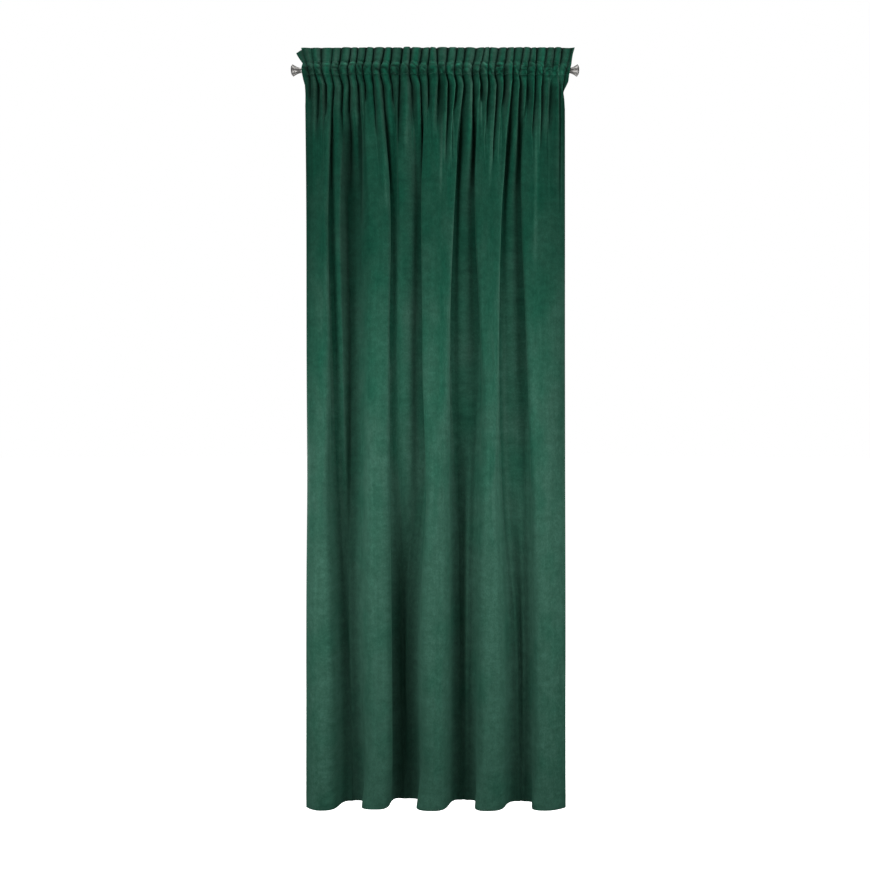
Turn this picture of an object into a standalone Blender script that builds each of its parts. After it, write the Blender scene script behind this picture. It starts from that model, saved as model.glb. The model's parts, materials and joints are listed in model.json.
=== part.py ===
"""A velvet curtain panel gathered by its rod pocket on a thin rod with two trumpet finials.

Run with: blender --background --python part.py

Metres, +Z up. The origin is on the rod's axis, midway between the finials. +X runs along the
rod and the curtain's face looks along -Y. The panel is one cloth: a standing frill of doubled
cloth, the pocket that holds the rod, and the drop below it, whose many gathers merge into five
deep folds at the hem.
"""

import math

import bmesh
import bpy
import numpy as np

MM = 0.001

# Driving dimensions of the cloth
FLAT_WIDTH = 1.40
CLOTH_THICKNESS = 0.002
FRILL_THICKNESS = 0.004
FRILL_TOP = 0.076
UPPER_STITCHING = 0.026
LOWER_STITCHING = -0.017
GATHERS_END = -0.058
HEM = -2.626

# Driving dimensions of the rod and its finials
ROD_RADIUS = 0.008
ROD_HALF_LENGTH = 0.470
SEAT_GAP = 0.0003
FINIAL_LENGTH = 0.045
FINIAL_COLLAR_RADIUS = 0.0087
FINIAL_COLLAR_LENGTH = 0.009
FINIAL_MOUTH_RADIUS = 0.020
FINIAL_RIM = 0.0018
FINIAL_DOME = 0.006
ROUND_STEPS = 32

# The pocket's inner face passes the rod's surface at this distance
POCKET_CLEARANCE = 0.0022

# How the cloth folds
GATHER_SHARPNESS = 1.6
WIDEST_GATHER = 0.040
GATHERS_FULL_TO = -0.035
WALL_STEEPNESS = 0.55
FOLD_LEAN = 0.12
FOLD_DEPTH = 0.100
MOST_DEPTH_SCALE = 3.0

# Heights of the cloth's rows, top to bottom: the frill, the pocket, the drop
FRILL_ROWS = (FRILL_TOP, 0.051)
POCKET_ROWS = (UPPER_STITCHING, 0.013, 0.0, -0.011, LOWER_STITCHING)
DROP_ROWS = (-0.035, -0.070, -0.140, -0.240, -0.360, -0.560, -0.860, -1.200, -1.560, -1.960,
             -2.320, HEM)
# How far the pocket stands open on each of its rows, from sewn shut to round the rod
POCKET_OPEN = (0.0, 0.85, 1.0, 0.88, 0.0)
COLUMNS_PER_GATHER = 4
# Samples of each gather when a plan line is measured
FINE_SAMPLES = 24

# Every gather of the heading, left to right, by the gap at its middle, in mm:
# in the frill, just below the pocket, and the height at which it has smoothed out
# (LASTS where it runs on as one of the long folds)
LASTS = -9999
GATHERS = (
    (-467, -448, -117),
    (-438, -419, -259),
    (-406, -391, -170),
    (-367, -363, LASTS),
    (-338, -331, -294),
    (-303, -306, LASTS),
    (-278, -274, -560),
    (-249, -249, -117),
    (-221, -220, -241),
    (-185, -185, LASTS),
    (-157, -153, -131),
    (-118, -128, -312),
    (-89, -82, -206),
    (-50, -53, LASTS),
    (-21, -28, -145),
    (7, 11, -241),
    (43, 43, -347),
    (75, 71, -145),
    (103, 100, LASTS),
    (142, 132, LASTS),
    (171, 160, -117),
    (192, 188, -241),
    (221, 217, -347),
    (253, 242, -131),
    (281, 270, LASTS),
    (310, 302, LASTS),
    (338, 327, -145),
    (360, 352, -241),
    (395, 380, -294),
    (424, 412, -241),
    (449, 445, -507),
    (481, 457, -103),
)

# Heights at which the long folds are laid out, and how broad the ridges stand there: 1 for
# ridges and valleys alike, more for broad ridges with narrow gaps between them
FOLD_HEIGHTS = (-0.058, -0.440, -1.004, -1.533, -1.956, -2.626)
RIDGE_BREADTH = (1.5, 2.1, 2.3, 2.1, 1.8, 1.6)

# The long folds, left to right: where each ridge and valley runs at those heights (mm from
# the middle), and how deep it lies from the second height down (percent of FOLD_DEPTH)
FOLDS = (
    ("left edge", (-464, -458, -458, -459, -459, -458), (25, 30, 32, 35, 36)),
    ("ridge 1", (-406, -411, -404, -404, -401, -398), (0, 0, 0, 0, 3)),
    ("valley 1, left", (-364, -371, -355, -355, -329, -305), (45, 60, 62, 86, 92)),
    ("valley 1, middle", (-335, -342, -331, -336, -323, -297), (10, 35, 50, 88, 95)),
    ("valley 1, right", (-307, -311, -302, -309, -317, -290), (50, 60, 68, 88, 95)),
    ("ridge 2", (-232, -208, -211, -214, -211, -206), (2, 0, 0, 4, 13)),
    ("valley 2, left", (-185, -151, -145, -146, -130, -120), (45, 46, 54, 102, 108)),
    ("valley 2, middle", (-118, -109, -120, -117, -113, -107), (8, 12, 32, 104, 113)),
    ("valley 2, right", (-53, -54, -60, -62, -96, -94), (50, 60, 62, 104, 117)),
    ("ridge 3", (11, 14, 18, 7, 4, -4), (0, 0, 0, 0, 0)),
    ("valley 3, left", (100, 79, 76, 73, 89, 93), (50, 75, 78, 94, 103)),
    ("valley 3, middle", (114, 103, 115, 98, 96, 103), (20, 58, 76, 95, 107)),
    ("valley 3, right", (132, 136, 146, 121, 103, 113), (50, 70, 72, 94, 107)),
    ("ridge 4", (196, 193, 204, 200, 200, 190), (2, 0, 0, 0, 0)),
    ("valley 4, left", (271, 250, 243, 253, 300, 303), (50, 50, 38, 80, 91)),
    ("valley 4, middle", (285, 268, 266, 270, 305, 307), (8, 26, 26, 82, 92)),
    ("valley 4, right", (303, 297, 315, 311, 310, 312), (50, 68, 68, 82, 91)),
    ("ridge 5", (382, 373, 380, 387, 390, 394), (2, 0, 0, 2, 3)),
    ("right edge", (464, 465, 465, 466, 466, 466), (25, 30, 32, 33, 33)),
)

# The heading's two ends flare: height, and how far the edge stands out and back there (mm)
END_HEIGHTS = (0.076, 0.051, 0.026, 0.0, -0.017, -0.058)
LEFT_OUT = (27, 22, 6, 6, 8, 0)
LEFT_BACK = (43, 26, 8, 2, 0, 0)
RIGHT_OUT = (33, 30, 24, 20, 15, 0)
RIGHT_BACK = (-6, -4, 0, 0, 0, 0)
# How many gathers at each end turn out with the edge
FLARED_GATHERS = 0.9

FIRST_EDGE = 0.5
LAST_EDGE = len(GATHERS) + 0.5


def clear_scene():
    """Remove every object of the open file."""
    for item in list(bpy.data.objects):
        bpy.data.objects.remove(item, do_unlink=True)


def make_material(name, colour, roughness, metallic):
    """A plain Principled BSDF finish."""
    material = bpy.data.materials.new(name)
    material.use_nodes = True
    shader = material.node_tree.nodes["Principled BSDF"]
    shader.inputs["Base Color"].default_value = (*colour, 1.0)
    shader.inputs["Roughness"].default_value = roughness
    shader.inputs["Metallic"].default_value = metallic
    material.diffuse_color = (*colour, 1.0)
    return material


def make_object(name, mesh, material):
    """Link the mesh as a named object with its material."""
    mesh.materials.append(material)
    item = bpy.data.objects.new(name, mesh)
    bpy.context.scene.collection.objects.link(item)
    return item


def through(stations, rows, place):
    """The value at `place` on one smooth curve through a row of values at each station.

    Stations may run up or down. Past either end the last row holds.
    """
    stations = np.asarray(stations, float)
    rows = np.asarray(rows, float)
    if stations[0] > stations[-1]:
        stations = stations[::-1]
        rows = rows[::-1]
    if place <= stations[0]:
        return rows[0]
    if place >= stations[-1]:
        return rows[-1]
    spans = np.diff(stations)
    slopes = [(rows[i + 1] - rows[i]) / spans[i] for i in range(len(spans))]
    tangents = [slopes[0]]
    for i in range(1, len(spans)):
        share = spans[i] / (spans[i - 1] + spans[i])
        tangents.append(share * slopes[i - 1] + (1 - share) * slopes[i])
    tangents.append(slopes[-1])
    i = int(np.searchsorted(stations, place)) - 1
    t = (place - stations[i]) / spans[i]
    start = (1 + 2 * t) * (1 - t) ** 2 * rows[i] + t * (1 - t) ** 2 * spans[i] * tangents[i]
    end = t * t * (3 - 2 * t) * rows[i + 1] - t * t * (1 - t) * spans[i] * tangents[i + 1]
    return start + end


def ease(t):
    """Smooth step from 0 to 1, flat at both ends."""
    t = np.clip(t, 0.0, 1.0)
    return t * t * (3 - 2 * t)


def gather_places(column):
    """Where the gathers' lines run, one place per phase: column 0 in the frill, 1 in the drop."""
    numbers = np.arange(1, len(GATHERS) + 1)
    gaps = np.array([row[column] for row in GATHERS]) * MM
    left = FOLDS[0][1][0] * MM
    right = FOLDS[-1][1][0] * MM
    numbers = np.concatenate(([FIRST_EDGE], numbers, [LAST_EDGE]))
    return numbers, np.concatenate(([left], gaps, [right]))


def gather_widths(phase):
    """Width of the gather at each phase, eased from one gather to the next."""
    numbers, gaps = gather_places(1)
    inner = numbers[1:-1]
    halves = np.diff(gaps)
    widths = halves[:-1] + halves[1:]
    widths = np.minimum(widths / 2, WIDEST_GATHER)
    return np.interp(phase, inner, widths)


def gather_strength(phase, z):
    """How much of each gather is left at height z, from 1 in the heading to 0 where it ends."""
    numbers = np.arange(1, len(GATHERS) + 1)
    left = []
    for row in GATHERS:
        end = row[2] * MM if row[2] != LASTS else FOLD_HEIGHTS[1]
        left.append(float(ease((z - end) / (GATHERS_FULL_TO - end))))
    return np.interp(phase, numbers, left)


def gather_wave(phase):
    """Depth of the gathers' wave: 0 on a ridge, 1 in the gap at every whole phase."""
    return ((1 + np.cos(2 * math.pi * phase)) / 2) ** GATHER_SHARPNESS


def fold_places(phase, z):
    """The long folds' plan at height z: place along the rod and depth behind the front."""
    places = through(FOLD_HEIGHTS, [[f[1][i] for f in FOLDS] for i in range(6)], z) * MM
    depths = through(FOLD_HEIGHTS[1:], [[f[2][i] for f in FOLDS] for i in range(5)], z)
    depths = depths * FOLD_DEPTH / 100
    breadth = through(FOLD_HEIGHTS, RIDGE_BREADTH, z)
    start = np.array([f[1][0] for f in FOLDS]) * MM
    numbers, gaps = gather_places(1)
    along = np.interp(np.interp(phase, numbers, gaps), start, np.arange(len(FOLDS)))
    first = np.clip(along.astype(int), 0, len(FOLDS) - 2)
    # Odd rows are ridges, even rows valleys: go from the ridge (0) to the valley (1)
    ridge = np.where(first % 2 == 1, first, first + 1)
    valley = np.where(first % 2 == 1, first + 1, first)
    t = np.abs(along - ridge)
    drop = t ** breadth
    # The two side edges only curl back, with no wall
    curl = (first == 0) | (first == len(FOLDS) - 2)
    share = np.where(curl, t ** 2, (1 - np.cos(math.pi * drop)) / 2)
    depth = depths[ridge] + (depths[valley] - depths[ridge]) * share
    # Each wall is drawn in about its middle, which makes it steep once the folds have grown
    grown = ease((GATHERS_END - z) / (GATHERS_END - FOLD_HEIGHTS[1]))
    draw = WALL_STEEPNESS * float(grown) * np.sin(2 * math.pi * drop) / (2 * math.pi)
    t = np.where(curl, t, t + draw)
    return places[ridge] + (places[valley] - places[ridge]) * t, depth


def frill_places(phase):
    """Where the gathers' lines run in the frill."""
    numbers, gaps = gather_places(0)
    return np.interp(phase, numbers, gaps)


def row_plan(phase, z, gather_depth, fold_scale):
    """Plan of the cloth's middle surface at height z, with the folds deepened by fold_scale."""
    x, depth = fold_places(phase, z)
    blend = float(ease((z - GATHERS_END) / (UPPER_STITCHING - GATHERS_END)))
    x = x * (1 - blend) + frill_places(phase) * blend
    depth = depth * fold_scale
    ripple = (gather_wave(phase) - 0.5) * gather_widths(phase) * gather_depth
    ripple = ripple * gather_strength(phase, z)
    lean = FOLD_LEAN * depth * (1 - blend)
    y = depth - depth.mean() + ripple
    return x + lean - lean.mean(), y


def plan_length(x, y):
    """Length of the plan's line."""
    return float(np.hypot(np.diff(x), np.diff(y)).sum())


def solve(measure, low, high, target, steps=32):
    """The argument between low and high at which a rising measure meets its target."""
    for _ in range(steps):
        middle = (low + high) / 2
        if measure(middle) < target:
            low = middle
        else:
            high = middle
    return (low + high) / 2


def heading_gather_depth(phase):
    """Depth over width of the gathers that takes up the whole flat width in the heading."""
    def length(depth):
        return plan_length(*row_plan(phase, UPPER_STITCHING, depth, 0.0))
    return solve(length, 0.0, 2.0, FLAT_WIDTH)


def fold_scale_at(phase, z, gather_depth):
    """How deep the long folds hang at height z, where the gathers no longer take up the cloth."""
    if z > LOWER_STITCHING:
        return 0.0

    def length(scale):
        return plan_length(*row_plan(phase, z, gather_depth, scale))
    return solve(length, 0.0, MOST_DEPTH_SCALE, FLAT_WIDTH)


def flare_ends(phase, x, y, z):
    """Turn the heading's two ends outwards and back, as they stand free past the gathers."""
    def reach(rows):
        return float(through(END_HEIGHTS, [[v] for v in rows], z)[0]) * MM
    left = ease(1 - (phase - FIRST_EDGE) / FLARED_GATHERS)
    right = ease(1 - (LAST_EDGE - phase) / FLARED_GATHERS)
    x = x - left * reach(LEFT_OUT) + right * reach(RIGHT_OUT)
    y = y + left * reach(LEFT_BACK) + right * reach(RIGHT_BACK)
    return x, y


def cloth_rows(phase):
    """Plan line of the cloth's middle surface on every row, top to bottom.

    Also gives how far the gathers stand behind the stitching, half of their depth.
    """
    fine = np.linspace(FIRST_EDGE, LAST_EDGE, FINE_SAMPLES * len(GATHERS) + 1)
    gather_depth = heading_gather_depth(fine)
    rows = []
    for z in (*FRILL_ROWS, *POCKET_ROWS, *DROP_ROWS):
        scale = fold_scale_at(fine, z, gather_depth)
        x, y = row_plan(phase, z, gather_depth, scale)
        x, y = flare_ends(phase, x, y, z)
        rows.append((z, x, y))
    return rows, gather_widths(phase) * gather_depth / 2


def offset(x, y, distance):
    """The plan line moved sideways by distance, to its back."""
    tangent_x = np.gradient(x)
    tangent_y = np.gradient(y)
    length = np.hypot(tangent_x, tangent_y)
    return x - tangent_y / length * distance, y + tangent_x / length * distance


def add_line(bm, x, y, z):
    """A row of vertices along one plan line."""
    return [bm.verts.new((px, py, z)) for px, py in zip(x, y)]


def add_strip(bm, upper, lower, flip=False):
    """Faces between two rows, facing -Y, or +Y if flipped."""
    for i in range(len(upper) - 1):
        corners = [upper[i], lower[i], lower[i + 1], upper[i + 1]]
        bm.faces.new(corners[::-1] if flip else corners)


def add_walls(bm, fronts, backs, tunnel_fronts, tunnel_backs, side):
    """Close one side edge of the cloth, round the pocket's open end."""
    first = len(FRILL_ROWS)
    last = first + len(POCKET_ROWS) - 1
    for i in range(len(fronts) - 1):
        front, back = fronts[i], backs[i]
        next_front, next_back = fronts[i + 1], backs[i + 1]
        if i < first or i >= last:
            ring = [front[side], back[side], next_back[side], next_front[side]]
            if i == first - 1:
                ring.insert(3, tunnel_fronts[0][side])
            if i == last:
                ring.insert(1, tunnel_fronts[-1][side])
            rings = [ring]
        else:
            k = i - first
            inner, next_inner = tunnel_fronts[k][side], tunnel_fronts[k + 1][side]
            outer, next_outer = tunnel_backs[k][side], tunnel_backs[k + 1][side]
            rings = [[front[side], inner, next_inner, next_front[side]],
                     [outer, back[side], next_back[side], next_outer]]
        for ring in rings:
            bm.faces.new(ring if side == -1 else ring[::-1])


def make_curtain(material):
    """The panel: frill, pocket and drop as one closed solid with a tunnel for the rod."""
    columns = len(GATHERS) * COLUMNS_PER_GATHER + 1
    phase = np.linspace(FIRST_EDGE, LAST_EDGE, columns)
    rows, half_gather = cloth_rows(phase)
    first = len(FRILL_ROWS)
    bm = bmesh.new()
    fronts, backs, tunnel_fronts, tunnel_backs = [], [], [], []
    for i, (z, x, y) in enumerate(rows):
        in_pocket = first <= i < first + len(POCKET_ROWS)
        opening = POCKET_OPEN[i - first] if in_pocket else 0.0
        stitched = in_pocket and opening == 0.0
        doubled = i < first or stitched
        half = (FRILL_THICKNESS if doubled else CLOTH_THICKNESS) / 2
        spread = ROD_RADIUS + POCKET_CLEARANCE + CLOTH_THICKNESS / 2 + half_gather
        spread = spread * opening
        fronts.append(add_line(bm, *offset(x, y - spread, -half), z))
        backs.append(add_line(bm, *offset(x, y + spread, half), z))
        if stitched:
            shared = add_line(bm, x, y, z)
            tunnel_fronts.append(shared)
            tunnel_backs.append(shared)
        elif in_pocket:
            tunnel_fronts.append(add_line(bm, *offset(x, y - spread, half), z))
            tunnel_backs.append(add_line(bm, *offset(x, y + spread, -half), z))
    for i in range(len(rows) - 1):
        add_strip(bm, fronts[i], fronts[i + 1])
        add_strip(bm, backs[i], backs[i + 1], flip=True)
    for i in range(len(tunnel_fronts) - 1):
        add_strip(bm, tunnel_fronts[i], tunnel_fronts[i + 1], flip=True)
        add_strip(bm, tunnel_backs[i], tunnel_backs[i + 1])
    add_strip(bm, backs[0], fronts[0])
    add_strip(bm, fronts[-1], backs[-1])
    add_walls(bm, fronts, backs, tunnel_fronts, tunnel_backs, 0)
    add_walls(bm, fronts, backs, tunnel_fronts, tunnel_backs, -1)
    bmesh.ops.recalc_face_normals(bm, faces=bm.faces)
    mesh = bpy.data.meshes.new("curtain_panel")
    bm.to_mesh(mesh)
    bm.free()
    mesh.shade_smooth()
    return make_object("curtain_panel", mesh, material)


def turn_profile(bm, profile):
    """Turn a profile of (place along X, radius) about the X axis into a closed solid."""
    rings = []
    for place, radius in profile:
        ring = []
        for step in range(ROUND_STEPS):
            angle = 2 * math.pi * step / ROUND_STEPS
            ring.append(bm.verts.new((place, radius * math.cos(angle), radius * math.sin(angle))))
        rings.append(ring)
    for one, other in zip(rings, rings[1:]):
        for step in range(ROUND_STEPS):
            after = (step + 1) % ROUND_STEPS
            bm.faces.new((one[step], one[after], other[after], other[step]))
    bm.faces.new(rings[0])
    bm.faces.new(rings[-1])
    bmesh.ops.recalc_face_normals(bm, faces=bm.faces)


def make_turned(name, profile, material):
    """A round piece on the rod's axis."""
    bm = bmesh.new()
    turn_profile(bm, profile)
    mesh = bpy.data.meshes.new(name)
    bm.to_mesh(mesh)
    bm.free()
    mesh.shade_smooth()
    mesh.set_sharp_from_angle(angle=math.radians(35))
    return make_object(name, mesh, material)


def make_rod(material):
    """The plain round rod in the pocket."""
    profile = [(-ROD_HALF_LENGTH, ROD_RADIUS), (ROD_HALF_LENGTH, ROD_RADIUS)]
    return make_turned("rod", profile, material)


def finial_profile():
    """Collar, trumpet flare, thin rim and low dome, from the rod's end outwards."""
    profile = [(0.0, FINIAL_COLLAR_RADIUS), (FINIAL_COLLAR_LENGTH, FINIAL_COLLAR_RADIUS)]
    flare_end = FINIAL_LENGTH - FINIAL_DOME - FINIAL_RIM
    flare_steps = 7
    for step in range(1, flare_steps + 1):
        t = step / flare_steps
        place = FINIAL_COLLAR_LENGTH + (flare_end - FINIAL_COLLAR_LENGTH) * t
        radius = FINIAL_COLLAR_RADIUS + (FINIAL_MOUTH_RADIUS - FINIAL_COLLAR_RADIUS) * t ** 1.7
        profile.append((place, radius))
    profile.append((flare_end + FINIAL_RIM, FINIAL_MOUTH_RADIUS))
    dome_steps = 5
    for step in range(1, dome_steps + 1):
        angle = math.pi / 2 * step / (dome_steps + 1)
        place = flare_end + FINIAL_RIM + FINIAL_DOME * math.sin(angle)
        profile.append((place, FINIAL_MOUTH_RADIUS * math.cos(angle)))
    return profile


def make_finial(name, side, material):
    """A trumpet finial seated on the rod's end; side is -1 at the left, 1 at the right."""
    base = ROD_HALF_LENGTH + SEAT_GAP
    profile = [(side * (base + place), radius) for place, radius in finial_profile()]
    return make_turned(name, profile, material)


def main():
    """Build the curtain and its rod."""
    clear_scene()
    velvet = make_material("velvet", (0.024, 0.075, 0.050), 0.85, 0.0)
    steel = make_material("brushed_steel", (0.60, 0.59, 0.58), 0.28, 1.0)
    make_curtain(velvet)
    make_rod(steel)
    make_finial("finial_left", -1, steel)
    make_finial("finial_right", 1, steel)


main()
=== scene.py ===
"""Velvet curtain panel gathered by its rod pocket on a thin steel rod with trumpet finials.

The cloth is one long sheet: from the lower edge of its turned back, up behind the frill, over
the frill's top, down the front to the hem, and up behind the hem. Metres, +Z up, the rod's axis
along X, the curtain's face along -Y.
"""

import json
import math

import bmesh
import bpy
import numpy as np
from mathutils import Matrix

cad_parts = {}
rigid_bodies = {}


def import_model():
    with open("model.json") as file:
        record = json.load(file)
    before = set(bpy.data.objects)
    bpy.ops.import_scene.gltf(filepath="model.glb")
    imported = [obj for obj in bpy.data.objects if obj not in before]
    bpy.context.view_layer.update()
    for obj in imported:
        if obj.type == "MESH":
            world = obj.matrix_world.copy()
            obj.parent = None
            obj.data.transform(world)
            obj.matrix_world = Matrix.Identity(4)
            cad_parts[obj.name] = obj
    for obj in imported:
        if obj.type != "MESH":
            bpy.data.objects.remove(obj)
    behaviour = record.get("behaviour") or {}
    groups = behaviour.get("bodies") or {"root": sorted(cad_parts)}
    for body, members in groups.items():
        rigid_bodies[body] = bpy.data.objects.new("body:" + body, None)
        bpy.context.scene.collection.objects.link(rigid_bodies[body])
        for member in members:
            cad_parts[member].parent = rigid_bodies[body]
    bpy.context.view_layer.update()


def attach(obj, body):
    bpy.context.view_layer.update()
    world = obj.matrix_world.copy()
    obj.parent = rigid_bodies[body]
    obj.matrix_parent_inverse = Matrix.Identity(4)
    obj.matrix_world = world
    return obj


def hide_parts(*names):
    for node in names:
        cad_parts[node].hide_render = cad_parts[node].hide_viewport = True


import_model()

MM = 0.001

# The cloth as it was cut and as it hangs
FLAT_WIDTH = 1.40
CLOTH_THICKNESS = 0.0018
LAYER_GAP = 0.0001  # between two layers that lie on each other
FRILL_TOP = 0.076
UPPER_STITCHING = 0.026
LOWER_STITCHING = -0.017
TURNED_EDGE = -0.024  # lower edge of the heading's turned back
GATHERS_END = -0.058  # where the long folds begin to grow
HEM = -2.626
HEM_DEPTH = 0.040

# A rounded turn of the cloth from its one side to the other: the side (1 behind, -1 in front),
# how many half layers from the middle, and how far past the last row
TURN = ((1, 0.7, 0.0007), (1, 0.0, 0.0010), (-1, 0.7, 0.0007))
TURNED_EDGE_LAYERS = 2.4  # the turned back's edge stands off this many half layers
DOUBLED_FROM = 0.018  # below the stitching, where the front begins to make room for the back
HEMMED_FROM = 0.030  # above the hem's turned edge, the same

# Rows of the sheet, by the height at which each stretch begins and how many rows it has
FRONT_STRETCHES = (
    (FRILL_TOP, 12),
    (UPPER_STITCHING, 15),
    (LOWER_STITCHING, 9),
    (GATHERS_END, 17),
    (-0.26, 11),
    (-0.56, 15),
    (-1.50, 18),
    (HEM + HEM_DEPTH, 2),
    (HEM, 0),
)
BACK_STRETCHES = ((TURNED_EDGE, 1), (LOWER_STITCHING, 10), (UPPER_STITCHING, 5), (FRILL_TOP, 0))
HEM_ROWS = 4

# The stitching: sizes of a stitch, how high it stands on the cloth, and how many of the sheet's
# columns it stops short of the cloth's two ends
STITCH_SIZES = {"Pitch": 0.0038, "Stitch Length": 0.0027, "Thread Radius": 0.00035}
STITCH_SEGMENTS = 8
STITCH_RINGS = 5
STITCH_LIFT = 0.0001
STITCHING_SHORT = 3

# The rod, the finials' seats and the pocket round the rod
ROD_RADIUS = 0.008
ROD_HALF_LENGTH = 0.470
SEAT_GAP = 0.0003
POCKET_CLEARANCE = 0.0022
POCKET_OPEN = (0.002, -0.004)  # heights between which it is round
POCKET_ROUNDING = (0.8, 0.6)  # how round it closes above and below

# How the cloth folds. A pair of heights says where something starts and where it is full
GATHER_DEPTH = 0.85  # share of a gather's width
WIDEST_GATHER = 0.040
WIDEST_GAP = 0.5  # share of its sharpness that a gap keeps at least
GATHERS_FULL_TO = -0.065
GATHERS_KEEP = 0.38  # the lower, the longer a gather keeps its depth
START_SPREAD = 0.007  # how much higher or lower one gather starts than another
GAP_UNEVENNESS = 0.75
GAPS_WIDER = 0.05  # all of them a little
UNEVEN_HEIGHTS = (LOWER_STITCHING, LOWER_STITCHING - 0.05)
DRIFT = 0.24  # share of a gather's width
DRIFT_STARTS = (LOWER_STITCHING, LOWER_STITCHING - 0.16)
DRIFT_ENDS = (-0.60, -0.22)
SHIFT_INWARD = 0.5  # gathers from either end of the cloth to where each of these is full
DRIFT_INWARD = 3.0
CREASES_INWARD = 2.0
HEADING_FORWARD = 0.005  # how far the heading stands before the folds' middle
FORWARD_HEIGHTS = (-0.50, -0.05)
FOLD_LEAN = 0.12  # sideways, as a share of the folds' depth
LEAN_HEIGHTS = (LOWER_STITCHING, LOWER_STITCHING - 0.10)
FOLDS_GROW = (LOWER_STITCHING, LOWER_STITCHING - 0.12)
VALLEY_FLOOR = 0.85  # how far down a wall reaches the flat of the valley
FOLD_DEPTH = 0.100
MOST_DEPTH_SCALE = 3.0  # upper bound when the folds are solved for their length
FINE_SAMPLES = 24
COLUMNS_PER_GATHER = 12
CROWDED = 0.45  # how much closer the columns stand in the gaps

# Every gather of the heading, left to right, by the gap at its middle, in mm: in the frill,
# at the rod and just below the pocket; the height at which it has smoothed out (LASTS where it
# runs on as one of the long folds); and how deep it is at those three places, in percent
LASTS = -9999
IN_FRILL, AT_ROD, BELOW_POCKET = range(3)
GATHER_HEIGHTS = (0.040, -0.008, -0.058)
GATHERS = (
    (-467, -450, -448, -117, 20, 60, 60),
    (-438, -430, -419, -259, 25, 70, 90),
    (-406, -404, -391, -170, 55, 60, 100),
    (-367, -371, -363, LASTS, 40, 40, 80),
    (-338, -344, -331, -294, 80, 40, 100),
    (-303, -311, -306, LASTS, 60, 90, 100),
    (-278, -282, -274, -560, 90, 90, 80),
    (-249, -258, -249, -117, 100, 90, 90),
    (-221, -225, -220, -241, 90, 80, 80),
    (-185, -196, -185, LASTS, 70, 70, 80),
    (-157, -162, -153, -131, 90, 100, 80),
    (-118, -125, -128, -312, 100, 40, 80),
    (-89, -93, -82, -206, 100, 100, 70),
    (-50, -60, -53, LASTS, 50, 40, 100),
    (-21, -26, -28, -145, 100, 60, 90),
    (7, 11, 11, -241, 100, 100, 80),
    (43, 36, 43, -347, 90, 100, 90),
    (75, 68, 71, -145, 80, 70, 100),
    (103, 97, 100, LASTS, 100, 40, 80),
    (142, 132, 132, LASTS, 50, 60, 100),
    (171, 158, 160, -117, 100, 70, 90),
    (192, 188, 188, -241, 80, 80, 80),
    (221, 211, 217, -347, 80, 50, 100),
    (253, 245, 242, -131, 90, 80, 100),
    (281, 276, 270, LASTS, 90, 100, 90),
    (310, 300, 302, LASTS, 100, 30, 90),
    (338, 329, 327, -145, 100, 20, 80),
    (360, 357, 352, -241, 100, 90, 90),
    (395, 386, 380, -294, 60, 15, 65),
    (424, 418, 412, -241, 100, 0, 55),
    (449, 442, 445, -507, 80, 0, 60),
    (481, 466, 457, -103, 40, 40, 70),
)

# Irregular waves along the heading: the speeds that make one up, and the pace and the seed of
# each place that one is used in
IRREGULAR_SPEEDS = (0.61, 1.07, 1.73)
GATHER_STARTS = (1.9, 5)
GAP_WIDTHS = (1.9, 14)
GATHER_WANDER = (1.45, 21)
FRILL_EDGE = (1.3, 4)
RIPPLE_WANDER = (0.8, 1)
HOLLOW_SHADES = (2.3, 7)
STITCHING_PULL = (1.2, 9)
WEAR_PATCHES = (3.1, 12)

# The gathers' shape from the frill's top down: how sharp the gaps are (1 as wide as the
# ridges) and how far the ridges spread over them
SHAPE_HEIGHTS = (0.076, 0.030, -0.020, -0.070, -0.200)
SHARPNESS = (2.8, 2.7, 2.5, 1.3, 1.6)
OVERHANG = (0.50, 0.60, 0.60, 0.40, 0.20)

# How far the ridges of the gathers hang to the right over their gaps, along the heading
LEANING_GATHERS = (1, 5, 12, 16, 32)
LEANING = (-0.25, -0.15, 0.05, 0.34, 0.38)
LEANING_HEIGHTS = (0.01, -0.05)

# Small creases pinched into the pocket's front: place along the rod, height and half length
# (mm), slope (degrees, rising to the right) and how far they stand out (mm, less than 0 for a
# dent)
POCKET_CREASES = (
    (-385, 15, 16, 0, 2.2),
    (-328, 12, 10, 4, 2.6),
    (-295, 16, 9, 0, 2.2),
    (-264, 16, 9, 10, 2.2),
    (-244, -26, 8, 70, 1.8),
    (-213, -9, 9, 20, -2.0),
    (-142, -2, 12, 45, 2.6),
    (-132, 15, 11, 25, 3.2),
    (-124, -10, 9, 30, -2.2),
    (-45, -6, 9, 10, 2.0),
    (-11, -3, 9, 25, 2.0),
    (42, -20, 9, -30, -2.0),
    (85, 10, 12, 30, 3.6),
    (96, -25, 8, 60, -2.6),
    (117, -6, 12, 40, 3.6),
    (146, -10, 10, 30, 2.6),
    (180, 6, 10, -20, 1.8),
    (227, 15, 11, 0, 3.2),
    (227, 5, 9, 5, -2.2),
    (227, -4, 10, 0, 2.6),
    (288, -36, 9, 0, 2.0),
    (325, 14, 10, 8, 1.8),
    (399, -37, 10, 0, 1.8),
    (406, 6, 20, 4, -2.4),
)
CREASE_WIDTH = 0.0042
CREASE_REACH = 0.040

# The pinches that each row of stitching pulls into the cloth: middle height and size
PUCKERS = ((UPPER_STITCHING - 0.006, 0.0032), (LOWER_STITCHING + 0.004, 0.0050))
PUCKER_REACH = 0.008
PUCKERS_PER_GATHER = 1.5
PUCKER_SLANT = 190
PUCKER_BEND = 2.5
PUCKERED = 0.5  # how much of them is everywhere, and how unevenly they come
PUCKERED_UNEVEN = 1.1

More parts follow.
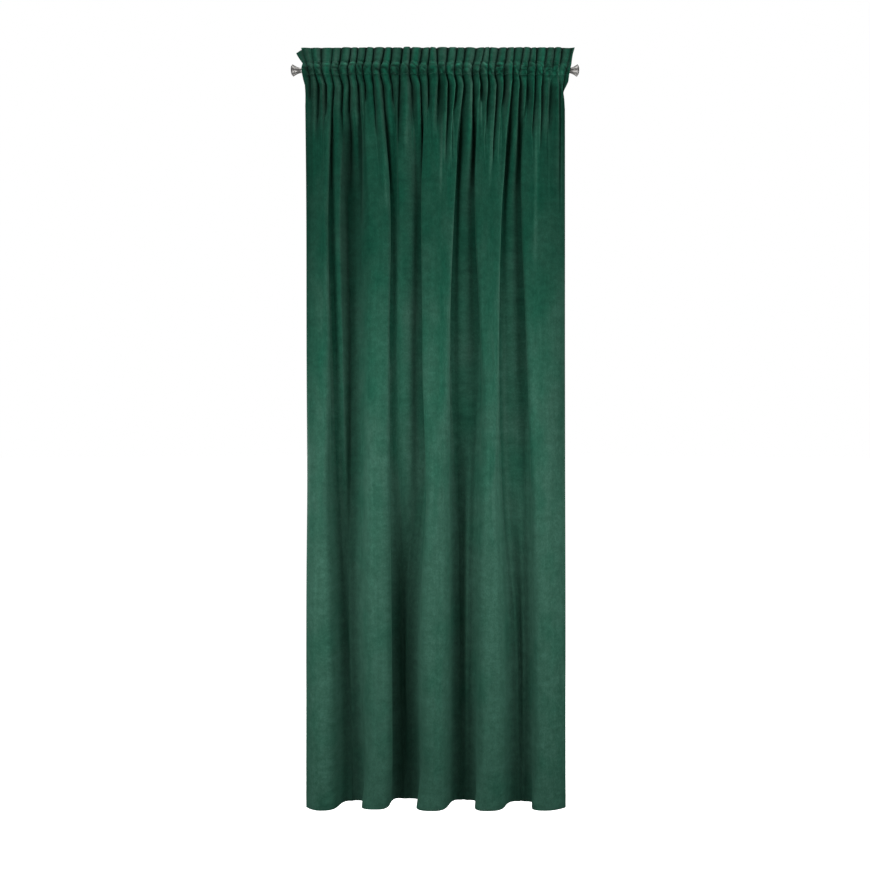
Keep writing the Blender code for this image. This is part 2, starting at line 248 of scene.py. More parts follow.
# Short slanting creases round the rod: slant, how many to a gather, and seed
PINCHES = ((38, 1.35, 3), (-52, 0.85, 11))
PINCHED_FROM = (-0.032, -0.016)
PINCHED_TO = (0.024, 0.010)
PINCH_DEPTH = 0.0045
PINCH_SHARPNESS = 1.8
PINCH_BEND = 1.2
PINCHED = 0.65  # how much of them is everywhere, and how unevenly they come
PINCHED_UNEVEN = 1.7

# Fine ripples among the gathers: size, how many to a gather, bend, the bend's pace and seed, the
# way it wanders, slant, and the pace and seed of its unevenness
RIPPLES = (
    (0.0013, 2.37, 3, (1.0, 8), 1, 30, (1.4, 2)),
    (0.0006, 4.1, 4, (1.1, 3), -1, 17, (1.6, 10)),
)
RIPPLED = 0.4
RIPPLED_UNEVEN = 0.9
RIPPLES_WANDER = 0.9
WANDER_TURNS = 23  # to each metre down
RIPPLES_FADE = (-0.42, -0.17)
RIPPLES_FULL = (0.02, -0.04)
RIPPLED_HEADING = 0.4  # how much of them is left in the heading

# Painted highlights, soft streaks of sheen down a crest: place along the rod at the top and at the
# bottom (mm), height at the top and at the bottom, half width (mm) and strength
PAINTED_CREST_HIGHLIGHTS = (
    (25, 20, -0.170, -0.430, 5, 0.58),
    (166, 163, -0.105, -0.190, 5, 0.64),
    (203, 196, -0.180, -0.390, 5, 0.58),
    (362, 356, -0.150, -0.660, 6, 0.42),
    (-101, -102, -0.110, -0.290, 7, 0.44),
    (-176, -173, -0.300, -0.480, 5, 0.36),
    (396, 388, -0.060, -0.220, 3, 0.42),
    (-391, -386, -0.070, -0.190, 3, 0.36),
)

# Heights at which the long folds are laid out
FOLD_HEIGHTS = (-0.058, -0.440, -1.004, -1.533, -1.956, -2.626)

# The long folds, left to right: where each ridge and valley runs at those heights (mm from
# the middle), and how deep it lies from the second height down (percent of FOLD_DEPTH)
FOLDS = (
    ("left edge", (-464, -461, -461, -460, -457, -455), (25, 30, 32, 35, 36)),
    ("ridge 1", (-406, -411, -404, -404, -401, -398), (0, 0, 0, 0, 3)),
    ("valley 1, left", (-366, -382, -371, -357, -329, -305), (50, 48, 50, 86, 92)),
    ("valley 1, middle", (-335, -346, -338, -334, -321, -297), (30, 42, 54, 84, 95)),
    ("valley 1, right", (-307, -318, -313, -310, -314, -290), (104, 82, 62, 79, 96)),
    ("ridge 2", (-232, -208, -211, -214, -211, -206), (2, 0, 0, 4, 13)),
    ("valley 2, left", (-185, -163, -159, -148, -142, -136), (45, 34, 40, 100, 116)),
    ("valley 2, middle", (-118, -112, -122, -118, -124, -115), (10, 30, 40, 97, 113)),
    ("valley 2, right", (-53, -45, -44, -52, -98, -100), (55, 54, 48, 88, 114)),
    ("ridge 3", (11, 14, 18, 7, 4, -4), (0, 0, 0, 0, 0)),
    ("valley 3, left", (100, 70, 56, 74, 82, 88), (55, 54, 58, 92, 102)),
    ("valley 3, middle", (114, 98, 90, 90, 92, 98), (38, 50, 56, 88, 104)),
    ("valley 3, right", (132, 142, 149, 126, 118, 117), (57, 60, 44, 68, 99)),
    ("ridge 4", (196, 193, 204, 200, 200, 190), (2, 0, 0, 0, 0)),
    ("valley 4, left", (271, 240, 231, 246, 280, 298), (50, 38, 34, 66, 88)),
    ("valley 4, middle", (285, 264, 260, 272, 299, 307), (36, 44, 40, 80, 92)),
    ("valley 4, right", (303, 308, 318, 316, 321, 318), (57, 54, 36, 64, 87)),
    ("ridge 5", (382, 373, 380, 387, 390, 394), (2, 0, 0, 2, 3)),
    ("right edge", (464, 465, 465, 466, 466, 466), (25, 30, 32, 33, 33)),
)

# The sides of the ridges at five heights: how steeply the wall is drawn in (0 soft, 1 upright,
# more overhangs) and how broad the ridge stays before it turns down (1 not at all)
SIDE_HEIGHTS = (-0.60, -1.15, -1.50, -2.50, -2.62)
SIDES = {
    "ridge 1, right": ((1.8, 1.4, 0.6, 0.3, 0.4), (5.5, 3.8, 2.4, 1.7, 1.6)),
    "ridge 2, left": ((0.1, 0.1, 0.1, 0.2, 1.1), (1.2, 1.0, 1.0, 1.0, 1.6)),
    "ridge 2, right": ((1.8, 1.5, 1.2, 1.2, 0.6), (5.5, 4.2, 3.3, 2.9, 1.8)),
    "ridge 3, left": ((1.9, 1.5, 0.7, 0.2, 1.1), (5.5, 4.0, 1.8, 1.0, 1.6)),
    "ridge 3, right": ((1.8, 1.3, 0.7, 0.4, 0.4), (5.5, 3.4, 2.0, 1.6, 1.5)),
    "ridge 4, left": ((1.7, 0.4, 0.2, 0.3, 1.1), (4.5, 1.5, 1.5, 1.3, 1.6)),
    "ridge 4, right": ((1.8, 1.3, 0.4, 0.3, 0.4), (5.5, 3.6, 1.9, 1.6, 1.5)),
    "ridge 5, left": ((1.7, 1.0, 0.4, 0.3, 1.1), (4.5, 2.6, 1.6, 1.4, 1.6)),
}
VALLEY_SIDE = ((0.2,) * 5, (1.1,) * 5)

# How much painted shade dims the pile towards the panel's two sides, by depth below the rod
DIM_SIDE_DEPTHS = (0.6, 1.2, 1.5, 1.9, 2.3, 2.6)
DIM_SIDES = (0.32, 0.29, 0.14, 0.10, 0.07, 0.02)

# Where the heading's two ends stand, in mm: height, place along the rod, and how far back
LEFT_HEIGHTS = (0.076, 0.059, 0.040, 0.020, 0.000, -0.017, -0.036, -0.058, -0.090, -0.140)
LEFT_PLACES = (-469, -496, -485, -471, -474, -474, -470, -464, -462, -464)
LEFT_BACK = (0, 2, 1, 0, 0, 0, 0, 0, 0, 0)
RIGHT_HEIGHTS = (0.076, 0.055, 0.021, 0.000, -0.017, -0.043, -0.060, -0.078, -0.103, -0.140)
RIGHT_PLACES = (497, 491, 487, 482, 479, 476, 468, 458, 462, 464)
RIGHT_BACK = (-6, -4, 0, 0, 0, 0, 0, 4, 2, 0)
FLARED_GATHERS = 0.5  # how many gathers each free end takes up
END_MARGIN = 0.004  # from the outer gaps to the heading's ends, at least

# The cloth's two ends, counted in gathers, and its frill
FIRST_EDGE = 0.5
LAST_EDGE = len(GATHERS) + 0.5
FRILL_SPREAD = 0.6  # how much further the frill runs aslant above its middle
FRILL_EDGE_DEPTH = 0.62  # share of their depth that the gathers keep at its edge
FRILL_WAVE = 0.0014  # rise and fall of its edge
FRILL_SCALLOPS = 0.0048  # rise of its edge over each gap

# Painted light and shade in the pile's colour, as shares of its brightness
GAP_SHADE = 0.80
HEADING_GAP_SHADE = 0.18  # more in the heading
HEADING_GAPS_DEEPER = 0.6
HEADING_GAPS_BROADER = 0.32
VALLEY_SHADE = 0.40
VALLEY_SHADE_CURVE = 1.4
VALLEY_SHADE_GROWS = 0.35  # metres below the gathers
UNEVEN_PILE = 0.25
POCKET_SHADE = 0.12
POCKET_LIGHT_RIGHT = 0.26  # towards the right end
LEFT_GATHERS_SHADE = 0.22
FRILL_SHADE = 0.06
UPPER_SHADE = 0.27
RIGHT_LIGHT = 0.16  # on what faces right
RIGHT_LIGHT_MORE = 0.20  # on the right half
RIM_LIGHT = 0.50  # along the ridges' right edges
RIM_LIGHT_MORE = 0.70  # on the right half
RIM_LIGHT_CURVE = 1.3
LEAST_EDGE_LIGHT = 0.15  # what is left of both low on the drop
GATHER_LIGHT = 1.05  # along the gathers' right edges
LEFT_EDGE_LIGHT = 0.25  # what is left of it on the left half
GATHER_LIGHT_PLACE = 0.70  # of the way from one gap to the next
GATHER_LIGHT_WIDTH = 0.085
STREAK_LIGHT = 1.3
# Painted light and shade on the back, turned round from the front's
BEHIND_HOLLOW = 1.40  # brightness behind what is darkest in front
BEHIND_RIDGE = 0.60  # and how much what is plain in front takes off
PINCH_SHADE = 0.80
FLECKS = 0.008  # on the drop
HEADING_FLECKS = 0.082  # more in the heading
FLECK_SEED = 11

# Where a painted shade or light begins and where it is full: heights, or places along the rod
HEADING_SHADES = (-0.05, 0.0)
UNEVEN_SHADES = (-0.6, -0.1)
POCKET_SHADES = (-0.012, 0.013)  # middle height and reach
POCKET_RIGHT = (0.12, 0.37)
LEFT_GATHERS = (2.6, 1.4)  # counted in gathers
LEFT_GATHERS_TOP = (-0.13, -0.08)
FRILL_SHADES = (0.0, 0.03)
SIDE_PLACES = (0.34, 0.48)
SIDE_SHADES = (0.0, -0.08)
UPPER_SHADES = (-1.15, -0.45)
UPPER_SHADES_BEGIN = (-0.03, -0.09)
EDGE_LIGHTS = (-1.3, -0.4)
GATHER_LIGHTS = (-0.03, -0.07)
BROAD_LIGHT_RIGHT = (-0.10, 0.20)
RIM_LIGHT_RIGHT = (-0.05, 0.05)
GATHER_LIGHT_RIGHT = (-0.04, 0.04)
RIM_OUT_OF_GAPS = (0.85, 0.50)  # by depth in a gap
RIM_OUT_OF_VALLEYS = (0.45, 0.15)  # by depth in a valley
FLECKED_HEADING = (-0.30, -0.05)
WORN_GATHERS = (-0.25, -0.05)
PALER_FRILL = (0.0, 0.05)

# Painted light (less than 0) and painted dark bands along either row of stitching: middle height,
# reach and share
UPPER_BANDS = ((UPPER_STITCHING, 0.0035, 0.30), (0.013, 0.008, -0.26))
LOWER_BANDS = ((-0.022, 0.005, 0.12), (-0.008, 0.006, -0.08))
DRAWN = 0.6  # how strong both are, and how unevenly along the heading
DRAWN_UNEVEN = 0.7

# How small forms are painted lighter and darker in the pile's colour, as a share to each metre
# that they stand out
PUCKER_LIGHT = 90
RIPPLE_LIGHT = 100
CREASE_LIGHT = 215
CREASE_SHADOW = 0.8
CREASE_SHADOW_DROP = 0.006
MOST_CREASE = 0.0035

# How far the pile's colour turns paler: to each metre below the rod, on the frill, unevenly on the
# gathers, and, as painted sheen, on what faces right and along the crest highlights
PALER_BY_DEPTH = 0.62
LEAST_PALENESS = -0.12
FRILL_PALENESS = 0.40
GATHER_WEAR = 0.15
GATHER_WEAR_UNEVEN = 0.75
RIGHT_PAINTED_SHEEN = 0.7
STREAK_PAINTED_SHEEN = 1.2

# Finials, from the rod's end outwards
FINIAL_LENGTH = 0.045
FINIAL_COLLAR_RADIUS = 0.0087
FINIAL_COLLAR_LENGTH = 0.009
FINIAL_MOUTH_RADIUS = 0.020
FINIAL_RIM = 0.0018
FINIAL_DOME = 0.006
FINIAL_STEPS = 72
COLLAR_BEVEL = 0.0006
COLLAR_BEAD = ((0.0034, 0.0), (0.0040, 0.0004), (0.0050, 0.0004), (0.0056, 0.0))
FLARE_STEPS = 18
FLARE_CURVE = 1.7
RIM_BEVEL = 0.0004
RIM_GROOVE = 0.0003
GROOVE_INSET = 0.0016
DOME_INSET = 0.0018
DOME_START = 0.12
DOME_STEPS = 14

# Finishes, in linear colour: the velvet's pile from its dark to its light tone, the thread and
# the steel
DEEP_PILE_TONES = ((0.0030, 0.0590, 0.0345), (0.0055, 0.0800, 0.0465), (0.0100, 0.1050, 0.0630))
# The paler tones go in both where the pile is paler and as painted sheen
PALE_PILE_AND_SHEEN_TONES = ((0.0170, 0.0610, 0.0410), (0.0250, 0.0810, 0.0555), (0.0350, 0.1060, 0.0750))
PILE_SHEEN = (0.19, 0.60, 0.43, 1.0)
THREAD = ((0.038, 0.118, 0.088), (0.064, 0.172, 0.132))
STEEL = ((0.17, 0.165, 0.16), (0.32, 0.31, 0.30))

# The velvet's patterns on the flat cloth: stretch across and down, shift, scale, detail and
# roughness
VELVET_PATTERNS = {
    "streaks": ((42.0, 2.6), (0.0, 0.0), 1.0, 3.0, 0.60),
    "pile": ((1.0, 0.6), (0.0, 0.0), 210.0, 3.0, 0.65),
    "blotch": ((9.0, 5.0), (3.1, 1.7), 1.0, 3.0, 0.50),
    "mottle": ((1.0, 1.0), (5.3, 2.1), 60.0, 2.0, 0.50),
    "bands": ((11.0, 38.0), (1.3, 4.2), 1.0, 2.0, 0.50),
    "brush": ((130.0, 5.0), (7.7, 0.6), 1.0, 2.0, 0.50),
    "clouds": ((1.0, 1.0), (2.9, 8.3), 26.0, 2.0, 0.50),
    "fuzz": ((1.0, 0.7), (0.0, 0.0), 900.0, 2.0, 0.70),
    "rumple": ((9.0, 26.0), (0.4, 2.2), 1.0, 2.0, 0.50),
}

# How much of each pattern goes into the pile's tone, and how high it stands in metres
TONE_SHARES = {"streaks": 0.6, "pile": 1.4, "mottle": 1.0, "blotch": 0.8, "bands": 0.5,
               "brush": 0.35, "clouds": 0.8, "fuzz": 0.7}
RELIEF = {"pile": 0.0005, "rumple": 0.0016, "fuzz": 0.0002}
BLOTCHY_WEAR = 1.3  # how far the blotches decide where the pile is rubbed pale

# The studio's softboxes: name, place, aim, size, watts and whether metal mirrors them
SOFTBOXES = (
    ("left", (-1.45, -1.35, -1.50), (0.0, 0.0, -1.50), (1.0, 0.8), 42.0, True),
    ("right", (1.45, -1.35, -1.50), (0.0, 0.0, -1.50), (1.0, 0.8), 32.0, True),
    ("front", (0.0, -2.6, -1.5), (0.0, 0.0, -1.5), (2.4, 0.6), 8.0, False),
    ("back_left", (-1.70, 2.10, -1.50), (0.0, 0.0, -1.60), (1.2, 1.2), 54.0, True),
    ("back_right", (1.70, 2.10, -1.50), (0.0, 0.0, -1.60), (1.2, 1.2), 44.0, True),
    ("top_left", (-0.50, -0.32, 1.05), (0.0, 0.0, -0.03), (0.7, 0.25), 9.0, True),
    ("top_right", (0.50, -0.32, 1.05), (0.0, 0.0, -0.03), (0.7, 0.25), 8.0, True),
)

# The studio's paper, as strengths of its white, and its floor
PAPER_SEEN = 0.94  # to the camera
PAPER_MIRRORED = 0.16  # in the metal
PAPER_LIGHT = 0.06  # as a light on everything
FLOOR = -2.95
FLOOR_RADIUS = 60
FLOOR_SIDES = 96

# The camera stands level in front of the curtain; its lens as a focal length in pixels
CAMERA_PLACE = (0.0, -2.83, -1.304)
SENSOR = 36.0
FOCAL_PIXELS = 791
PICTURE_PIXELS = 870
FARTHEST_SEEN = 200.0


# ---------------------------------------------------------------- the cloth's folds

def through(stations, rows, place):
    """The value at `place` on one smooth curve through a row of values at each station.

    Stations may run up or down. Past either end the last row holds.
    """
    stations = np.asarray(stations, float)
    rows = np.asarray(rows, float)
    if stations[0] > stations[-1]:
        stations = stations[::-1]
        rows = rows[::-1]
    if place <= stations[0]:
        return rows[0]
    if place >= stations[-1]:
        return rows[-1]
    spans = np.diff(stations)
    slopes = [(rows[i + 1] - rows[i]) / spans[i] for i in range(len(spans))]
    tangents = [slopes[0]]
    for i in range(1, len(spans)):
        share = spans[i] / (spans[i - 1] + spans[i])
        tangents.append(share * slopes[i - 1] + (1 - share) * slopes[i])
    tangents.append(slopes[-1])
    i = int(np.searchsorted(stations, place)) - 1
    t = (place - stations[i]) / spans[i]
    start = (1 + 2 * t) * (1 - t) ** 2 * rows[i] + t * (1 - t) ** 2 * spans[i] * tangents[i]
    end = t * t * (3 - 2 * t) * rows[i + 1] - t * t * (1 - t) * spans[i] * tangents[i + 1]
    return start + end


def ease(t):
    """Smooth step from 0 to 1, flat at both ends."""
    t = np.clip(t, 0.0, 1.0)
    return t * t * (3 - 2 * t)


def fade(place, start, full):
    """0 up to where something starts and 1 from where it is full, whichever way that lies."""
    return ease((place - start) / (full - start))


def inward(phase, reach):
    """0 at the cloth's two ends and 1 from so many gathers inwards."""
    return fade(phase, FIRST_EDGE, FIRST_EDGE + reach) * fade(phase, LAST_EDGE, LAST_EDGE - reach)


def hump(z, middle, reach):
    """1 at the middle height, falling smoothly to 0 over about the reach above and below it."""
    return math.exp(-((z - middle) / reach) ** 2)


def irregular(phase, pace, seed):
    """A smooth irregular wave along the heading, about -1 to 1, with its own run per seed."""
    out = np.zeros_like(phase)
    for k, speed in enumerate(IRREGULAR_SPEEDS):
        out = out + np.sin(speed * (phase * pace) * 2 + seed * (k + 1.3) + k)
    return out / len(IRREGULAR_SPEEDS)


def gather_places(column):
    """Where the gathers' gaps run in the frill, at the rod or below the pocket.

    Gives the gaps' numbers, with the cloth's two ends, and the place of each along the rod.
    """
    numbers = np.arange(1, len(GATHERS) + 1)
    gaps = np.array([row[column] for row in GATHERS]) * MM
    left = FOLDS[0][1][0] * MM
    right = FOLDS[-1][1][0] * MM
    if column != BELOW_POCKET:
        left = min(left, gaps[0] - END_MARGIN)
        right = max(right, gaps[-1] + END_MARGIN)
    numbers = np.concatenate(([FIRST_EDGE], numbers, [LAST_EDGE]))
    return numbers, np.concatenate(([left], gaps, [right]))


def gather_widths(phase):
    """Width of the gather at each phase, eased from one gather to the next."""
    numbers, gaps = gather_places(BELOW_POCKET)
    inner = numbers[1:-1]
    halves = np.diff(gaps)
    widths = halves[:-1] + halves[1:]
    widths = np.minimum(widths / 2, WIDEST_GATHER)
    return np.interp(phase, inner, widths)


def gather_strength(phase, z):
    """How deep each gather is at height z, from its depth in the heading to 0 where it ends."""
    numbers = np.arange(1, len(GATHERS) + 1)
    strengths = [[row[i] for row in GATHERS] for i in (4, 5, 6)]
    # The gathers start a little higher or lower than one another below the pocket
    late = (1 + irregular(numbers, *GATHER_STARTS)) / 2
    held = late * through(GATHER_HEIGHTS, strengths, z + START_SPREAD)
    held = (held + (1 - late) * through(GATHER_HEIGHTS, strengths, z - START_SPREAD)) / 100
    held = held * float(np.interp(z, (GATHER_HEIGHTS[0], FRILL_TOP), (1.0, FRILL_EDGE_DEPTH)))
    left = []
    for row in GATHERS:
        end = row[3] * MM if row[3] != LASTS else FOLD_HEIGHTS[1]
        left.append(fade(z, end, GATHERS_FULL_TO) ** GATHERS_KEEP)
    return np.interp(phase, numbers, held * left)


def gather_shape(z):
    """Sharpness of the gaps and overhang of the ridges at height z."""
    return tuple(np.interp(-z, -np.array(SHAPE_HEIGHTS), row) for row in (SHARPNESS, OVERHANG))


def gather_wave(phase, sharpness):
    """Depth of the gathers' wave: 0 on a ridge, 1 in the gap at every whole phase."""
    return ((1 + np.cos(2 * math.pi * phase)) / 2) ** sharpness


def gap_narrowing(phase, z):
    """How much narrower (more than 1) or wider each gap is than its neighbours at height z."""
    uneven = GAP_UNEVENNESS * irregular(phase, *GAP_WIDTHS) - GAPS_WIDER
    return np.maximum(WIDEST_GAP, 1 + fade(z, *UNEVEN_HEIGHTS) * uneven)


def gather_drift(phase, z):
    """How far the gathers drift sideways below the pocket, so that some close up into a V."""
    below = fade(z, *DRIFT_STARTS) * fade(z, *DRIFT_ENDS)
    wander = gather_widths(phase) * irregular(phase, *GATHER_WANDER)
    return DRIFT * below * inward(phase, DRIFT_INWARD) * wander


def fold_sides(z):
    """Steepness and breadth of the wall after each of the long folds' rows, at height z."""
    steep, broad = [], []
    names = [f[0] for f in FOLDS]
    for name, after in zip(names, names[1:]):
        side = SIDES.get(name + ", right") or SIDES.get(after + ", left") or VALLEY_SIDE
        steep.append(np.interp(-z, -np.array(SIDE_HEIGHTS), side[0]))
        broad.append(np.interp(-z, -np.array(SIDE_HEIGHTS), side[1]))
    return np.array(steep), np.array(broad)


def fold_places(phase, z):
    """The long folds' plan at height z: place along the rod and depth behind the front."""
    places = through(FOLD_HEIGHTS, [[f[1][i] for f in FOLDS] for i in range(6)], z) * MM
    depths = through(FOLD_HEIGHTS[1:], [[f[2][i] for f in FOLDS] for i in range(5)], z)
    depths = depths * FOLD_DEPTH / 100
    steep, broad = fold_sides(z)
    start = np.array([f[1][0] for f in FOLDS]) * MM
    numbers, gaps = gather_places(BELOW_POCKET)
    along = np.interp(np.interp(phase, numbers, gaps), start, np.arange(len(FOLDS)))
    first = np.clip(along.astype(int), 0, len(FOLDS) - 2)
    # Odd rows are ridges, even rows valleys: go from the ridge (0) to the valley (1)
    ridge = np.where(first % 2 == 1, first, first + 1)
    valley = np.where(first % 2 == 1, first + 1, first)
    t = np.abs(along - ridge)
    drop = np.minimum(1.0, t ** broad[first] / VALLEY_FLOOR)
    # The two side edges only curl back, with no wall
    curl = (first == 0) | (first == len(FOLDS) - 2)
    share = np.where(curl, t ** 2, (1 - np.cos(math.pi * drop)) / 2)
    depth = depths[ridge] + (depths[valley] - depths[ridge]) * share
    # Each wall is drawn in about its middle, which makes it steep once the folds have grown
    grown = fade(z, GATHERS_END, FOLD_HEIGHTS[1])
    draw = steep[first] * grown * np.sin(2 * math.pi * drop) / (2 * math.pi)
    t = np.where(curl, t, t + draw)
    return places[ridge] + (places[valley] - places[ridge]) * t, depth


def heading_places(phase, z):
    """Where the gathers' lines run in the heading: straight in the frill, a knee at the rod."""
    rows = [np.interp(phase, *gather_places(i)) for i in (IN_FRILL, AT_ROD, BELOW_POCKET)]
    top = rows[IN_FRILL] + FRILL_SPREAD * (rows[IN_FRILL] - rows[AT_ROD])
    return through((FRILL_TOP,) + GATHER_HEIGHTS, [top] + rows, z)


def row_plan(phase, z, fold_scale):
    """Plan of the cloth's middle surface at height z, with the folds deepened by fold_scale."""
    x, depth = fold_places(phase, z)
    if z > GATHERS_END:
        x = heading_places(phase, z)
    depth = depth * fold_scale
    strength = gather_strength(phase, z)
    sharpness, overhang = gather_shape(z)
    widths = gather_widths(phase)
    wave = gather_wave(phase, sharpness * gap_narrowing(phase, z))
    ripple = (wave - 0.5) * widths * GATHER_DEPTH * strength
    # The ridges spread over the gaps
    shift = -overhang * widths * np.sin(2 * math.pi * phase) / (2 * math.pi)
    leaning = np.interp(phase, LEANING_GATHERS, LEANING) * fade(z, *LEANING_HEIGHTS)
    shift = shift + leaning * widths * (np.sign(leaning) * 0.5 + 0.5 - wave)
    shift = (shift * strength + gather_drift(phase, z)) * inward(phase, SHIFT_INWARD)
    lean = FOLD_LEAN * depth * fade(z, *LEAN_HEIGHTS)
    return x + shift + lean - lean.mean(), depth - depth.mean() + ripple


def plan_length(x, y):
    """Length of the plan's line."""
    return float(np.hypot(np.diff(x), np.diff(y)).sum())


def solve(measure, low, high, target, steps=32):
    """The argument between low and high at which a rising measure meets its target."""
    for _ in range(steps):
        middle = (low + high) / 2
        if measure(middle) < target:
            low = middle
        else:
            high = middle
    return (low + high) / 2


def fold_scale_at(phase, z):
    """How deep the long folds hang at height z, where the gathers no longer take up the cloth."""
    if z > LOWER_STITCHING:
        return 0.0

    def length(scale):
        return plan_length(*row_plan(phase, z, scale))
    return fade(z, *FOLDS_GROW) * solve(length, 0.0, MOST_DEPTH_SCALE, FLAT_WIDTH)


def flare_ends(phase, x, y, z):
    """Turn the heading's two ends outwards and back, as they stand free past the gathers."""
    if z <= LEFT_HEIGHTS[-1]:
        return x, y

    def reach(heights, row):
        return float(np.interp(-z, -np.array(heights), row)) * MM
    left = ease(1 - (phase - FIRST_EDGE) / FLARED_GATHERS)
    right = ease(1 - (LAST_EDGE - phase) / FLARED_GATHERS)
    x = x + left * (reach(LEFT_HEIGHTS, LEFT_PLACES) - x[0])
    x = x + right * (reach(RIGHT_HEIGHTS, RIGHT_PLACES) - x[-1])
    y = y + left * reach(LEFT_HEIGHTS, LEFT_BACK) + right * reach(RIGHT_HEIGHTS, RIGHT_BACK)
    return x, y


def pocket_opening(z):
    """How far the pocket stands open at height z, 0 at either stitching and 1 round the rod."""
    if z >= UPPER_STITCHING or z <= LOWER_STITCHING:
        return 0.0
    above = fade(z, UPPER_STITCHING, POCKET_OPEN[0]) ** POCKET_ROUNDING[0]
    below = fade(z, LOWER_STITCHING, POCKET_OPEN[1]) ** POCKET_ROUNDING[1]
    return min(above, below)


def puckers(phase, z):
    """Small uneven pinches that both rows of stitching pull into the cloth."""
    out = np.zeros_like(phase)
    for seed, (middle, size) in enumerate(PUCKERS):
        turns = PUCKERS_PER_GATHER * phase
        bend = PUCKER_BEND * irregular(phase, 1.0, seed + 2)
        run = 2 * math.pi * turns + bend + PUCKER_SLANT * z
        uneven = PUCKERED + PUCKERED_UNEVEN * irregular(phase, 1.9, seed + 6)
        out = out + size * hump(z, middle, PUCKER_REACH) * np.cos(run) * uneven
    return out


def pocket_creases(x, z):
    """How far the pocket's small creases stand out of the cloth at height z, in metres."""
    out = np.zeros_like(x)
    for place, height, half_length, slope, size in POCKET_CREASES:
        if abs(z - height * MM) > CREASE_REACH:
            continue
        turn = math.radians(slope)
        across, up = x - place * MM, z - height * MM
        along = (across * math.cos(turn) + up * math.sin(turn)) / (half_length * MM)
        aside = (up * math.cos(turn) - across * math.sin(turn)) / CREASE_WIDTH
        out = out + size * MM * np.exp(-along ** 2 - aside ** 2)
    return out


def painted_crest_highlights(x, z):
    """How strong the painted highlight of a soft crest streak is at height z, 0 to 1."""
    out = np.zeros_like(x)
    for top_place, bottom_place, top, bottom, half_width, strength in PAINTED_CREST_HIGHLIGHTS:
        middle, reach = (top + bottom) / 2, (top - bottom) / 2
        place = top_place + (bottom_place - top_place) * np.clip((top - z) / (2 * reach), 0, 1)
        aside = (x - place * MM) / (half_width * MM)
        out = out + strength * math.exp(-((z - middle) / reach) ** 4) * np.exp(-aside ** 2)
    return out


def pinches(phase, z):
    """Short slanting creases round the rod, where the pocket is pushed together: 0 to 1."""
    near = fade(z, *PINCHED_FROM) * fade(z, *PINCHED_TO)
    out = np.zeros_like(phase)
    if near == 0.0:
        return out
    for slant, per_gather, seed in PINCHES:
        run = per_gather * phase + slant * z + PINCH_BEND * irregular(phase, 1.0, seed)
        here = PINCHED + PINCHED_UNEVEN * irregular(phase, 1.7, seed + 1)
        crease = (1 - abs(np.sin(math.pi * run))) ** PINCH_SHARPNESS
        out = np.maximum(out, crease * np.clip(here, 0.0, 1.0))
    return near * out


def small_creases(phase, z):
    """Fine uneven ripples among the gathers, wandering a little as they run down."""
    wander = RIPPLES_WANDER * math.sin(WANDER_TURNS * z) * irregular(phase, *RIPPLE_WANDER)
    out = np.zeros_like(phase)
    for size, per_gather, bend, bend_run, way, slant, uneven_run in RIPPLES:
        run = 2 * math.pi * per_gather * phase + bend * irregular(phase, *bend_run)
        wave = np.sin(run + way * wander + slant * z)
        out = out + size * wave * (RIPPLED + RIPPLED_UNEVEN * irregular(phase, *uneven_run))
    lasting = RIPPLED_HEADING + (1 - RIPPLED_HEADING) * fade(z, *RIPPLES_FULL)
    return fade(z, *RIPPLES_FADE) * lasting * out


def row_heights(stretches):
    """Heights of the sheet's rows along its stretches."""
    out = [stretches[0][0]]
    for (start, count), (end, _) in zip(stretches, stretches[1:]):
        out.extend(float(z) for z in np.linspace(start, end, count + 1)[1:])
    return out


FRONT_ROWS = len(row_heights(FRONT_STRETCHES))
FIRST_FRONT = len(row_heights(BACK_STRETCHES)) + len(TURN)


def sheet_phases():
    """Phases of the sheet's columns, closer together in the gathers' gaps."""
    even = np.linspace(FIRST_EDGE, LAST_EDGE, len(GATHERS) * COLUMNS_PER_GATHER + 1)
    return even - CROWDED * np.sin(2 * math.pi * even) / (2 * math.pi)


def plan_normal(x, y):
    """Unit direction to the cloth's back along one row."""
    along_x = np.gradient(x)
    along_y = np.gradient(y)
    length = np.hypot(along_x, along_y)
    return -along_y / length, along_x / length


